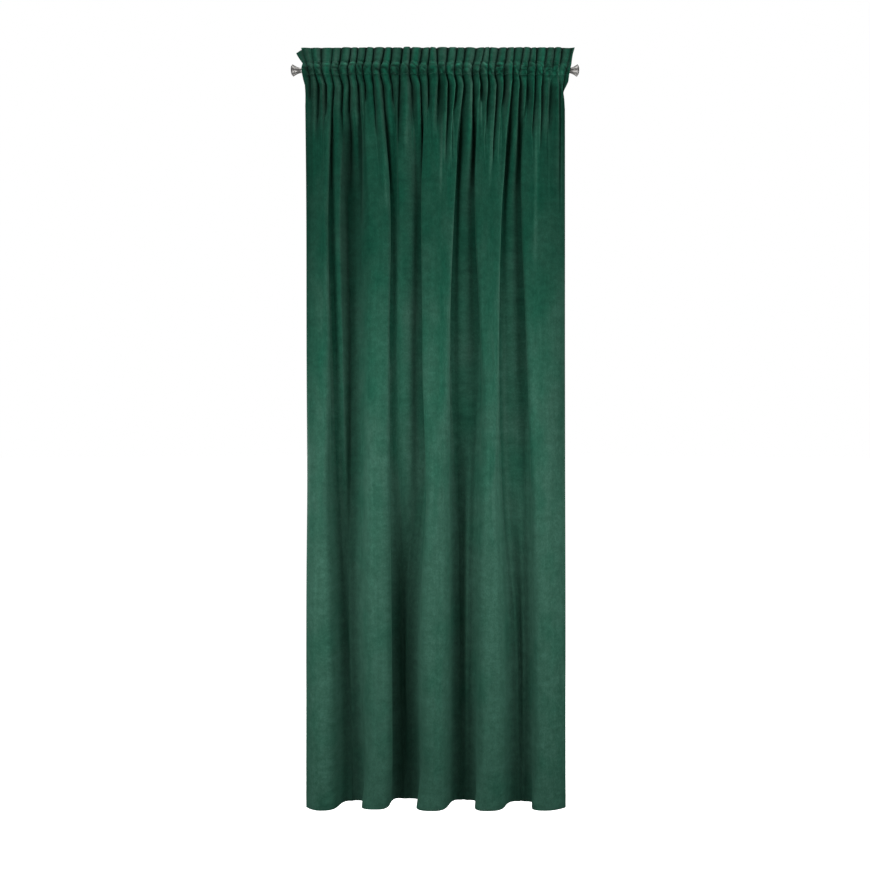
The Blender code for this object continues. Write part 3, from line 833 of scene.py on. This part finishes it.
def cloth_rows(phase):
    """Points of the cloth's middle surface, row by row, along the whole sheet."""
    fine = np.linspace(FIRST_EDGE, LAST_EDGE, FINE_SAMPLES * len(GATHERS) + 1)
    half_gather = gather_widths(phase) * GATHER_DEPTH / 2 * gather_strength(phase, 0.0)
    half_layer = (CLOTH_THICKNESS + LAYER_GAP) / 2
    scallops = gather_wave(phase, SHARPNESS[0]) * gather_strength(phase, GATHER_HEIGHTS[0])
    plans = {}

    def plan_at(z):
        x, y = row_plan(phase, z, fold_scale_at(fine, z))
        creases = puckers(phase, z) + small_creases(phase, z) + PINCH_DEPTH * pinches(phase, z)
        y = y - HEADING_FORWARD * fade(z, *FORWARD_HEIGHTS)
        y = y + creases * inward(phase, CREASES_INWARD) - pocket_creases(x, z)
        return flare_ends(phase, x, y, z)

    def row(z, side, aside=0.0, past=0.0):
        """One row at height z: its side, how many half layers aside, and how far past it."""
        if z not in plans:
            plans[z] = plan_at(z)
        x, y = plans[z]
        back_x, back_y = plan_normal(x, y)
        spread = ROD_RADIUS + POCKET_CLEARANCE + CLOTH_THICKNESS / 2 + half_gather
        spread = (spread + side * HEADING_FORWARD) * pocket_opening(z)
        across = side * aside * half_layer
        # The frill's top edge rises and falls a little
        uneven = FRILL_WAVE * irregular(phase, *FRILL_EDGE) + FRILL_SCALLOPS * scallops
        uneven = uneven * fade(z, UPPER_STITCHING, FRILL_TOP)
        return np.column_stack((
            x + back_x * across,
            y + back_y * across + side * spread,
            z + past + uneven,
        ))

    rows = []
    for z in row_heights(BACK_STRETCHES):
        rows.append(row(z, 1, TURNED_EDGE_LAYERS if z < LOWER_STITCHING else 1.0))
    for side, aside, past in TURN:
        rows.append(row(FRILL_TOP, side, aside, past))
    for z in row_heights(FRONT_STRETCHES):
        doubled = fade(z, LOWER_STITCHING - DOUBLED_FROM, LOWER_STITCHING)
        hemmed = fade(z, HEM + HEM_DEPTH + HEMMED_FROM, HEM + HEM_DEPTH)
        rows.append(row(z, -1, max(doubled, hemmed)))
    for side, aside, past in reversed(TURN):
        rows.append(row(HEM, side, aside, -past))
    for z in np.linspace(HEM, HEM + HEM_DEPTH, HEM_ROWS):
        rows.append(row(float(z), 1, 1.0))
    return np.array(rows)


def sheet_normals(points):
    """Unit normals of the sheet's middle surface, to the room on its front."""
    along = np.gradient(points, axis=1)
    down = np.gradient(points, axis=0)
    normal = np.cross(down, along)
    return normal / np.linalg.norm(normal, axis=2, keepdims=True)


# ---------------------------------------------------------------- painted light and shade, and the pile's paleness

def facing_right(points):
    """How far each point of the cloth faces right, -1 to 1."""
    across = np.gradient(points, axis=1)
    return across[:, :, 1] / np.hypot(across[:, :, 0], across[:, :, 1])


def pile_flecks(shape):
    """Fine light and dark flecks, each run together with its neighbours."""
    flecks = np.random.default_rng(FLECK_SEED).normal(size=shape)
    return (flecks + np.roll(flecks, 1, axis=0) + np.roll(flecks, 1, axis=1)) / 3 ** 0.5


def in_heading(z):
    """0 below the pocket and 1 in the heading."""
    return fade(z, *HEADING_SHADES)


def gap_depth(phase, z):
    """How deep each point lies in a gap between gathers, 0 to 1."""
    heading = in_heading(z)
    gap = gather_wave(phase, (1.0 + heading) * gap_narrowing(phase, z)) * gather_strength(phase, z)
    # The frill's gaps get as much painted shade at its edge, where they are less deep
    gap = gap / (1 - (1 - FRILL_EDGE_DEPTH) * fade(z, GATHER_HEIGHTS[0], FRILL_TOP))
    gap = np.clip(gap * (1 + HEADING_GAPS_DEEPER * heading), 0.0, 1.0)
    return gap ** (1 - HEADING_GAPS_BROADER * heading)


def valley_depth(phase, z):
    """How deep each point lies in a valley of the long folds, 0 to about 1."""
    deep = np.clip(fold_places(phase, z)[1] / FOLD_DEPTH, 0.0, 1.1)
    return deep * fade(z, GATHERS_END, GATHERS_END - VALLEY_SHADE_GROWS)


def hollow_shade(gap, deep, phase, z):
    """Painted shade in the gaps and valleys, and an uneven tone among the gathers."""
    shade = GAP_SHADE + HEADING_GAP_SHADE * in_heading(z)
    uneven = UNEVEN_PILE * irregular(phase, *HOLLOW_SHADES) * fade(z, *UNEVEN_SHADES)
    return (1 - shade * gap) * (1 - VALLEY_SHADE * deep ** VALLEY_SHADE_CURVE) * (1 + uneven)


def stitching_shade(x, phase, z):
    """Painted light and shade where the stitching draws the cloth in and the pocket is creased."""
    drawn = DRAWN + DRAWN_UNEVEN * irregular(phase, *STITCHING_PULL)
    # A crease gets a painted highlight along its top and painted shade just below it
    crease = pocket_creases(x, z) - CREASE_SHADOW * pocket_creases(x, z + CREASE_SHADOW_DROP)
    out = (1 + PUCKER_LIGHT * puckers(phase, z)) * (1 - PINCH_SHADE * pinches(phase, z))
    for bands in (UPPER_BANDS, LOWER_BANDS):
        out *= 1 - drawn * sum(share * hump(z, middle, reach) for middle, reach, share in bands)
    return out * (1 + CREASE_LIGHT * np.clip(crease, -MOST_CREASE, MOST_CREASE))


def broad_shade(x, phase, z):
    """Broad painted light and shade: the pocket, the left gathers, the frill, the drop's two sides
    and top.
    """
    pocket = POCKET_LIGHT_RIGHT * fade(x, *POCKET_RIGHT) - POCKET_SHADE
    out = 1 + hump(z, *POCKET_SHADES) * pocket
    out *= 1 - LEFT_GATHERS_SHADE * fade(phase, *LEFT_GATHERS) * fade(z, *LEFT_GATHERS_TOP)
    out *= 1 - FRILL_SHADE * fade(z, *FRILL_SHADES)
    aside = fade(abs(x), *SIDE_PLACES) * fade(z, *SIDE_SHADES)
    out *= 1 - float(np.interp(-z, DIM_SIDE_DEPTHS, DIM_SIDES)) * aside
    return out * (1 - UPPER_SHADE * fade(z, *UPPER_SHADES) * fade(z, *UPPER_SHADES_BEGIN))


def edge_light(x, phase, z, right, gap, deep):
    """Painted light on what faces right: on the ridges, along their rims and on the gathers'
    edges.
    """
    upper = LEAST_EDGE_LIGHT + (1 - LEAST_EDGE_LIGHT) * fade(z, *EDGE_LIGHTS)
    broad = (RIGHT_LIGHT + RIGHT_LIGHT_MORE * fade(x, *BROAD_LIGHT_RIGHT)) * right
    rim = np.clip(right, 0.0, 1.0) ** RIM_LIGHT_CURVE
    rim = rim * fade(gap, *RIM_OUT_OF_GAPS) * fade(deep, *RIM_OUT_OF_VALLEYS)
    rim = (RIM_LIGHT + RIM_LIGHT_MORE * fade(x, *RIM_LIGHT_RIGHT)) * rim
    edge = np.exp(-((phase % 1 - GATHER_LIGHT_PLACE) / GATHER_LIGHT_WIDTH) ** 2)
    edge = edge * gather_strength(phase, z) * fade(z, *GATHER_LIGHTS)
    edge = edge * (LEFT_EDGE_LIGHT + (1 - LEFT_EDGE_LIGHT) * fade(x, *GATHER_LIGHT_RIGHT))
    return 1 + upper * (broad + rim) + GATHER_LIGHT * edge


def painted_light_and_flecks(points, phase):
    """Painted light and shade in the pile's colour: 1 on a plain ridge, painted shade in the folds
    and gaps, and painted highlights on the ridges' right edges; with fine random flecks."""
    right = facing_right(points)
    flecks = pile_flecks(points.shape[:2])
    out = np.ones(points.shape[:2])
    for i, row in enumerate(points):
        x, z = row[:, 0], float(row[:, 2].mean())
        gap, deep = gap_depth(phase, z), valley_depth(phase, z)
        # Every factor but the flecks is painted light and shade: hollows, stitching, broad shades,
        # right-facing edges, ripples and crest highlights
        out[i] = hollow_shade(gap, deep, phase, z) * stitching_shade(x, phase, z)
        out[i] *= broad_shade(x, phase, z) * edge_light(x, phase, z, right[i], gap, deep)
        out[i] *= 1 + (FLECKS + HEADING_FLECKS * fade(z, *FLECKED_HEADING)) * flecks[i]
        out[i] *= 1 + RIPPLE_LIGHT * small_creases(phase, z)
        out[i] *= 1 + STREAK_LIGHT * painted_crest_highlights(x, z)
    return out


def seen_from_behind(painted_shading):
    """The painted light and shade as seen from the back, where the front's ridges are hollows."""
    return BEHIND_HOLLOW - BEHIND_RIDGE * painted_shading


def paleness_and_painted_sheen(points, phase):
    """How far the pile's colour turns paler, 0 to 1: on the frill, here and there on the gathers,
    more and more towards the hem, and as painted sheen on what faces right and along the crest
    highlights."""
    right = facing_right(points)
    uneven = GATHER_WEAR + GATHER_WEAR_UNEVEN * irregular(phase, *WEAR_PATCHES)
    out = np.zeros(points.shape[:2])
    for i, row in enumerate(points):
        x, z = row[:, 0], float(row[:, 2].mean())
        out[i] = LEAST_PALENESS - PALER_BY_DEPTH * z + FRILL_PALENESS * fade(z, *PALER_FRILL)
        out[i] += fade(z, *WORN_GATHERS) * uneven
        # Painted sheen: paler on what faces right and along the painted crest highlights
        out[i] += RIGHT_PAINTED_SHEEN * np.clip(right[i], 0.0, 1.0) + STREAK_PAINTED_SHEEN * painted_crest_highlights(x, z)
    return np.clip(out, 0.0, 1.0)


# ---------------------------------------------------------------- the sheet

def add_object(name, data):
    """An object in the scene for a mesh, a curve, a light or a camera."""
    item = bpy.data.objects.new(name, data)
    bpy.context.scene.collection.objects.link(item)
    return item


def make_sheet(name, points, pile, thickness, material):
    """A closed thin sheet on the rows of points, with a UV map of the flat cloth in metres, and
    the painted light and shade and the pile's paleness on its outside and its inside as named
    attributes."""
    rows, columns, _ = points.shape
    normal = sheet_normals(points)
    outer = points + normal * thickness / 2
    inner = points - normal * thickness / 2
    vertices = np.concatenate((outer.reshape(-1, 3), inner.reshape(-1, 3)))
    across = np.linalg.norm(np.diff(points, axis=1), axis=2).mean(axis=0)
    across = np.concatenate(([0.0], np.cumsum(across)))
    down = np.linalg.norm(np.diff(points, axis=0), axis=2).mean(axis=1)
    down = np.concatenate(([0.0], np.cumsum(down)))
    flat = np.stack(np.meshgrid(across, -down), axis=2).reshape(-1, 2)
    flat = np.concatenate((flat, flat))

    def at(row, column, back=False):
        return row * columns + column + (rows * columns if back else 0)
    faces = []
    for i in range(rows - 1):
        for j in range(columns - 1):
            faces.append((at(i, j), at(i + 1, j), at(i + 1, j + 1), at(i, j + 1)))
            faces.append((at(i, j, True), at(i, j + 1, True), at(i + 1, j + 1, True),
                          at(i + 1, j, True)))
        last = columns - 1
        faces.append((at(i, 0), at(i, 0, True), at(i + 1, 0, True), at(i + 1, 0)))
        faces.append((at(i, last), at(i + 1, last), at(i + 1, last, True), at(i, last, True)))
    for j in range(columns - 1):
        end = rows - 1
        faces.append((at(0, j), at(0, j + 1), at(0, j + 1, True), at(0, j, True)))
        faces.append((at(end, j), at(end, j, True), at(end, j + 1, True), at(end, j + 1)))
    mesh = bpy.data.meshes.new(name)
    mesh.from_pydata(vertices.tolist(), [], faces)
    uv = mesh.uv_layers.new(name="flat_cloth")
    corners = np.empty(len(mesh.loops), dtype=np.int64)
    mesh.loops.foreach_get("vertex_index", corners)
    uv.data.foreach_set("uv", flat[corners].ravel())
    for title, (outside, inside) in pile.items():
        kept = mesh.attributes.new(title, "FLOAT", "POINT")
        kept.data.foreach_set("value", np.concatenate((outside.ravel(), inside.ravel())))
    mesh.shade_smooth()
    mesh.materials.append(material)
    return add_object(name, mesh)


# ---------------------------------------------------------------- shader nodes

class Reading:
    """A shader value that Python's arithmetic works on; each step adds a Math node."""

    def __init__(self, finish, socket):
        self.finish = finish
        self.socket = socket

    def maths(self, operation, *values):
        return self.finish.node("ShaderNodeMath", {"operation": operation}, *values).first()

    def __add__(self, other):
        return self.maths("ADD", self, other)

    def __radd__(self, other):
        return self.maths("ADD", other, self)

    def __sub__(self, other):
        return self.maths("SUBTRACT", self, other)

    def __rsub__(self, other):
        return self.maths("SUBTRACT", other, self)

    def __mul__(self, other):
        return self.maths("MULTIPLY", self, other)

    def __rmul__(self, other):
        return self.maths("MULTIPLY", other, self)

    def clamped(self):
        """The value held between 0 and 1."""
        return self.finish.node("ShaderNodeClamp", {}, self).first()


class Step:
    """One node, whose outputs are taken by name."""

    def __init__(self, finish, node):
        self.finish = finish
        self.node = node

    def out(self, name):
        return Reading(self.finish, self.node.outputs[name])

    def first(self):
        live = [s for s in self.node.outputs if s.enabled]
        return Reading(self.finish, live[0])


class Finish:
    """A node tree under construction: of a material, of the world or of a modifier."""

    def __init__(self, tree):
        self.tree = tree

    def node(self, kind, settings=None, *values, **named):
        """Add a node: its settings first, then the values or links of its inputs."""
        node = self.tree.nodes.new(kind)
        for key, value in (settings or {}).items():
            setattr(node, key, value)
        live = [s for s in node.inputs if s.enabled]
        for socket, value in zip(live, values):
            self.put(socket, value)
        for name, value in named.items():
            wanted = name.replace("_", " ").lower()
            socket = [s for s in live if s.name.lower() == wanted][0]
            self.put(socket, value)
        return Step(self, node)

    def put(self, socket, value):
        if isinstance(value, Step):
            value = value.first()
        if isinstance(value, Reading):
            self.tree.links.new(value.socket, socket)
        elif value is not None:
            socket.default_value = value

    def ramp(self, value, stops):
        """A colour ramp of (position, colour) stops."""
        step = self.node("ShaderNodeValToRGB", {}, value)
        elements = step.node.color_ramp.elements
        while len(elements) < len(stops):
            elements.new(0.5)
        for element, (position, colour) in zip(elements, stops):
            element.position = position
            element.color = (*colour, 1.0)
        return step.out("Color")

    def mix(self, share, one, other):
        """A mix of two colours, each a link or a plain colour."""
        def whole(colour):
            return (*colour, 1.0) if isinstance(colour, tuple) else colour
        return self.node("ShaderNodeMix", {"data_type": "RGBA"}, share, whole(one),
                         whole(other)).first()

    def shaded(self, colour, factor):
        """A colour made darker or lighter by a factor."""
        return self.node("ShaderNodeVectorMath", {"operation": "SCALE"}, Vector=colour,
                         Scale=factor).first()

    def stretched(self, place, scale, shift=(0.0, 0.0, 0.0)):
        """Coordinates scaled and shifted for a pattern."""
        return self.node("ShaderNodeMapping", {}, Vector=place, Scale=scale, Location=shift)

    def noise(self, place, scale, detail, roughness):
        """Smooth noise, about 0 to 1."""
        return self.node("ShaderNodeTexNoise", {}, Vector=place, Scale=scale, Detail=detail,
                         Roughness=roughness).first()

    def attribute(self, name):
        """A number that the mesh gives at each point."""
        return self.node("ShaderNodeAttribute", {"attribute_name": name}).out("Fac")

    def bumped(self, height, strength, distance):
        """The surface's direction once a height stands on it."""
        return self.node("ShaderNodeBump", {}, Strength=strength, Distance=distance,
                         Height=height).out("Normal")


def new_material(name, settings):
    """A material with one Principled shader, its plain values and the tree to build on."""
    material = bpy.data.materials.new(name)
    material.use_nodes = True
    sockets = material.node_tree.nodes["Principled BSDF"].inputs
    for title, value in settings.items():
        sockets[title].default_value = value
    return material, Finish(material.node_tree), sockets


def make_velvet():
    """Short-piled bottle-green velvet: mottled pile, soft sheen, faint cross wrinkles."""
    material, finish, sockets = new_material("bottle_green_velvet", {
        "Specular IOR Level": 0.08,
        "Sheen Weight": 0.14,
        "Sheen Roughness": 0.50,
        "Sheen Tint": PILE_SHEEN,
    })
    flat = finish.node("ShaderNodeUVMap", {"uv_map": "flat_cloth"}).first()
    patterns = {}
    for name, (stretch, shift, scale, detail, roughness) in VELVET_PATTERNS.items():
        place = finish.stretched(flat, (*stretch, 1.0), (*shift, 0.0))
        patterns[name] = finish.noise(place, scale, detail, roughness)
    shares = ((patterns[name] - 0.5) * share for name, share in TONE_SHARES.items())
    tone = sum(shares, 0.5).clamped()
    deep_tone, pale_tone = (finish.ramp(tone, tuple(zip((0.0, 0.5, 1.0), colours)))
                     for colours in (DEEP_PILE_TONES, PALE_PILE_AND_SHEEN_TONES))
    # Paler pile: random blotches, paler down the drop and on the frill, and painted sheen on what
    # faces right and along the crest highlights
    paleness = finish.attribute("paleness_and_painted_sheen") + (patterns["blotch"] - 0.5) * BLOTCHY_WEAR
    colour = finish.mix(paleness.clamped(), deep_tone, pale_tone)
    # Painted light and shade multiply the colour: darker in folds, gaps and hollows, lighter on
    # right-facing edges and crest highlights
    colour = finish.shaded(colour, finish.attribute("painted_light_and_flecks"))
    finish.put(sockets["Base Color"], colour)
    finish.put(sockets["Roughness"], (patterns["pile"] - 0.5) * 0.12 + 0.86)
    height = sum((patterns[name] * relief for name, relief in RELIEF.items()), 0.0)
    finish.put(sockets["Normal"], finish.bumped(height, 0.5, 1.0))
    return material


def make_thread():
    """Matt sewing thread, twisted, a little lighter than the velvet."""
    material, finish, sockets = new_material("green_thread", {})
    place = finish.node("ShaderNodeTexCoord").out("Object")
    twist = finish.node("ShaderNodeTexWave", {"bands_direction": "DIAGONAL"}, Vector=place,
                        Scale=900.0).first()
    finish.put(sockets["Base Color"], finish.mix(twist, *THREAD))
    finish.put(sockets["Roughness"], twist * 0.2 + 0.55)
    return material


def make_steel(name, grain_across):
    """Brushed steel with fine turning lines and faint handling marks."""
    material, finish, sockets = new_material(name, {"Metallic": 1.0})
    place = finish.node("ShaderNodeTexCoord").out("Object")
    lines = finish.noise(finish.stretched(place, grain_across), 1.0, 3.0, 0.7)
    marks = finish.noise(place, 90.0, 3.0, 0.6)
    finish.put(sockets["Base Color"], finish.mix(lines, *STEEL))
    finish.put(sockets["Roughness"], lines * 0.12 + marks * 0.08 + 0.35)
    finish.put(sockets["Normal"], finish.bumped(lines, 0.25, 0.0004))
    return material


# ---------------------------------------------------------------- stitching

def stitch_tree(material):
    """Geometry nodes that set a small rounded stitch at every pitch along a curve, and the
    identifiers of the sizes' inputs."""
    tree = bpy.data.node_groups.new("stitch_row", "GeometryNodeTree")
    face = tree.interface
    face.new_socket("Line", in_out="INPUT", socket_type="NodeSocketGeometry")
    names = {}
    for name in STITCH_SIZES:
        socket = face.new_socket(name, in_out="INPUT", socket_type="NodeSocketFloat")
        names[name] = socket.identifier
    face.new_socket("Stitches", in_out="OUTPUT", socket_type="NodeSocketGeometry")
    work = Finish(tree)
    given = work.node("NodeGroupInput")
    spaced = work.node("GeometryNodeResampleCurve", {"mode": "LENGTH"}, Curve=given.out("Line"),
                       Length=given.out("Pitch"))
    along = work.node("GeometryNodeInputTangent")
    turn = work.node("FunctionNodeAlignRotationToVector", {"axis": "X"}, Vector=along)
    bead = work.node("GeometryNodeMeshUVSphere", {}, STITCH_SEGMENTS, STITCH_RINGS)
    radius = given.out("Thread Radius")
    size = work.node("ShaderNodeCombineXYZ", {}, given.out("Stitch Length") * 0.5, radius, radius)
    placed = work.node("GeometryNodeInstanceOnPoints", {}, Points=spaced, Instance=bead,
                       Rotation=turn, Scale=size)
    real = work.node("GeometryNodeRealizeInstances", {}, placed)
    dressed = work.node("GeometryNodeSetMaterial", {}, Geometry=real, Material=material)
    work.node("NodeGroupOutput", {}, dressed)
    return tree, names


def make_stitches(name, lines, material):
    """Rows of stitches along lines of points, as one plain mesh."""
    curve = bpy.data.curves.new(name + "_lines", "CURVE")
    curve.dimensions = "3D"
    for line in lines:
        spline = curve.splines.new("POLY")
        spline.points.add(len(line) - 1)
        spline.points.foreach_set("co", np.column_stack((line, np.ones(len(line)))).ravel())
    guide = add_object(name + "_lines", curve)
    modifier = guide.modifiers.new("stitches", "NODES")
    tree, names = stitch_tree(material)
    modifier.node_group = tree
    for title, size in STITCH_SIZES.items():
        modifier[names[title]] = size
    shown = guide.evaluated_get(bpy.context.evaluated_depsgraph_get())
    mesh = bpy.data.meshes.new_from_object(shown)
    guide.modifiers.remove(modifier)
    bpy.data.objects.remove(guide, do_unlink=True)
    mesh.name = name
    mesh.shade_smooth()
    return add_object(name, mesh)


# ---------------------------------------------------------------- finials

def finial_profile():
    """Collar, bead, trumpet flare, rounded rim and low dome: place from the rod's end, radius."""
    collar, mouth = FINIAL_COLLAR_RADIUS, FINIAL_MOUTH_RADIUS
    profile = [(0.0, 0.0), (0.0, collar - COLLAR_BEVEL), (COLLAR_BEVEL, collar)]
    profile.extend((place, collar + height) for place, height in COLLAR_BEAD)
    profile.append((FINIAL_COLLAR_LENGTH, collar))
    flare_end = FINIAL_LENGTH - FINIAL_DOME - FINIAL_RIM
    for t in np.linspace(0, 1, FLARE_STEPS + 1)[1:]:
        place = FINIAL_COLLAR_LENGTH + (flare_end - FINIAL_COLLAR_LENGTH) * t
        radius = collar + (mouth - collar) * t ** FLARE_CURVE
        profile.append((place, radius - (RIM_BEVEL if t == 1 else 0.0)))
    rim_end = flare_end + FINIAL_RIM
    profile.append((flare_end + RIM_BEVEL, mouth))
    profile.append((rim_end - RIM_BEVEL, mouth))
    profile.append((rim_end, mouth - RIM_BEVEL))
    profile.append((rim_end - RIM_GROOVE, mouth - GROOVE_INSET))
    for angle in np.linspace(DOME_START, math.pi / 2, DOME_STEPS):
        place = rim_end + FINIAL_DOME * math.sin(angle)
        profile.append((place, (mouth - DOME_INSET) * math.cos(angle)))
    profile[-1] = (rim_end + FINIAL_DOME, 0.0)
    return profile


def make_finial(name, side, material):
    """A turned finial seated on the rod's end; side is -1 at the left, 1 at the right."""
    bm = bmesh.new()
    base = ROD_HALF_LENGTH + SEAT_GAP
    rings = []
    for place, radius in finial_profile():
        x = side * (base + place)
        if radius == 0.0:
            rings.append([bm.verts.new((x, 0.0, 0.0))])
            continue
        angles = 2 * math.pi * np.arange(FINIAL_STEPS) / FINIAL_STEPS
        rings.append([bm.verts.new((x, radius * math.cos(a), radius * math.sin(a)))
                      for a in angles])
    for one, other in zip(rings, rings[1:]):
        for step in range(FINIAL_STEPS):
            after = (step + 1) % FINIAL_STEPS
            corners = [one[step % len(one)], one[after % len(one)],
                       other[after % len(other)], other[step % len(other)]]
            corners = list(dict.fromkeys(corners))
            bm.faces.new(corners)
    bmesh.ops.recalc_face_normals(bm, faces=bm.faces)
    mesh = bpy.data.meshes.new(name)
    bm.to_mesh(mesh)
    bm.free()
    mesh.shade_smooth()
    mesh.set_sharp_from_angle(angle=math.radians(40))
    mesh.materials.append(material)
    return add_object(name, mesh)


# ---------------------------------------------------------------- studio

def make_floor():
    """A wide pale floor under the curtain."""
    turns = 2 * math.pi * np.arange(FLOOR_SIDES) / FLOOR_SIDES
    ring = [(FLOOR_RADIUS * math.cos(a), FLOOR_RADIUS * math.sin(a), FLOOR) for a in turns]
    mesh = bpy.data.meshes.new("floor")
    mesh.from_pydata(ring, [], [tuple(range(FLOOR_SIDES))])
    material, _, _ = new_material("pale_floor", {
        "Base Color": (0.85, 0.85, 0.85, 1.0),
        "Roughness": 0.9,
        "Specular IOR Level": 0.0,
        "Emission Color": (1.0, 1.0, 1.0, 1.0),
        "Emission Strength": 1.0,
    })
    mesh.materials.append(material)
    floor = add_object("floor", mesh)
    # Its glow whitens the floor only, and lights nothing else
    floor.visible_diffuse = False
    floor.visible_glossy = False
    return floor


def add_softbox(name, place, aim, size, watts, mirrored):
    """A large soft area light, which metal mirrors or not."""
    light = bpy.data.lights.new(name, "AREA")
    light.shape = "RECTANGLE"
    light.size, light.size_y = size
    light.energy = watts
    item = add_object(name, light)
    item.location = place
    direction = np.array(aim) - np.array(place)
    flat = math.hypot(direction[0], direction[1])
    pitch = math.pi / 2 + math.atan2(direction[2], flat)
    item.rotation_euler = (pitch, 0.0, math.atan2(-direction[0], direction[1]))
    item.visible_camera = False
    item.visible_glossy = mirrored


def make_studio():
    """World, softboxes and camera."""
    scene = bpy.context.scene
    scene.view_settings.view_transform = "Standard"
    world = bpy.data.worlds.new("studio")
    scene.world = world
    world.use_nodes = True
    finish = Finish(world.node_tree)
    background = world.node_tree.nodes["Background"]
    # White paper all round, which gives only a dim light
    path = finish.node("ShaderNodeLightPath")
    seen = path.out("Is Camera Ray") * PAPER_SEEN
    strength = seen + path.out("Is Glossy Ray") * PAPER_MIRRORED + PAPER_LIGHT
    background.inputs["Color"].default_value = (1.0, 1.0, 1.0, 1.0)
    finish.put(background.inputs["Strength"], strength)
    for softbox in SOFTBOXES:
        add_softbox(*softbox)
    camera = bpy.data.cameras.new("camera")
    camera.sensor_width = SENSOR
    camera.lens = SENSOR * FOCAL_PIXELS / PICTURE_PIXELS
    camera.clip_end = FARTHEST_SEEN
    item = add_object("camera", camera)
    item.location = CAMERA_PLACE
    item.rotation_euler = (math.pi / 2, 0.0, 0.0)
    scene.camera = item


def make_panel(points, phase, material):
    """The panel's sheet with the painted light and shade and the pile's paleness on both of its
    sides.
    """
    painted_shading, paleness = painted_light_and_flecks(points, phase), paleness_and_painted_sheen(points, phase)
    behind = seen_from_behind(painted_shading)
    # The turned back of the heading and the turned hem show their outside to the wall, and take
    # the back's painted light and shade
    for turned in (slice(0, FIRST_FRONT - 2), slice(FIRST_FRONT + FRONT_ROWS + 1, None)):
        painted_shading[turned] = behind[turned]
    pile = {"painted_light_and_flecks": (painted_shading, behind), "paleness_and_painted_sheen": (paleness, paleness)}
    return make_sheet("velvet_panel", points, pile, CLOTH_THICKNESS, material)


def stitching_lines(points):
    """Lines on the cloth's outside, in front and behind, along both rows of stitching."""
    normal = sheet_normals(points)
    heights = np.array(row_heights(FRONT_STRETCHES))
    back = np.array(row_heights(BACK_STRETCHES))
    lines = []
    for stitching in (UPPER_STITCHING, LOWER_STITCHING):
        for row in (FIRST_FRONT + int(np.argmin(abs(heights - stitching))),
                    int(np.argmin(abs(back - stitching)))):
            line = points[row] + normal[row] * (CLOTH_THICKNESS / 2 + STITCH_LIFT)
            lines.append(line[STITCHING_SHORT:-STITCHING_SHORT])
    return lines


def main():
    """Dress the curtain and light it."""
    make_studio()
    make_floor()
    velvet = make_velvet()
    thread = make_thread()
    steel = make_steel("turned_steel", (900.0, 3.0, 3.0))
    rod_steel = make_steel("drawn_steel", (4.0, 700.0, 700.0))

    phase = sheet_phases()
    points = cloth_rows(phase)
    panel = make_panel(points, phase, velvet)
    stitches = make_stitches("heading_stitches", stitching_lines(points), thread)

    for name, side in (("finial_left", -1), ("finial_right", 1)):
        finial = make_finial("turned_" + name, side, steel)
        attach(finial, "root")
        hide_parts(name)
    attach(panel, "root")
    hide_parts("curtain_panel")
    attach(stitches, "root")
    for item in bpy.data.objects:
        if item.name == "rod" and item.type == "MESH":
            for slot in item.material_slots:
                slot.material = rod_steel


main()
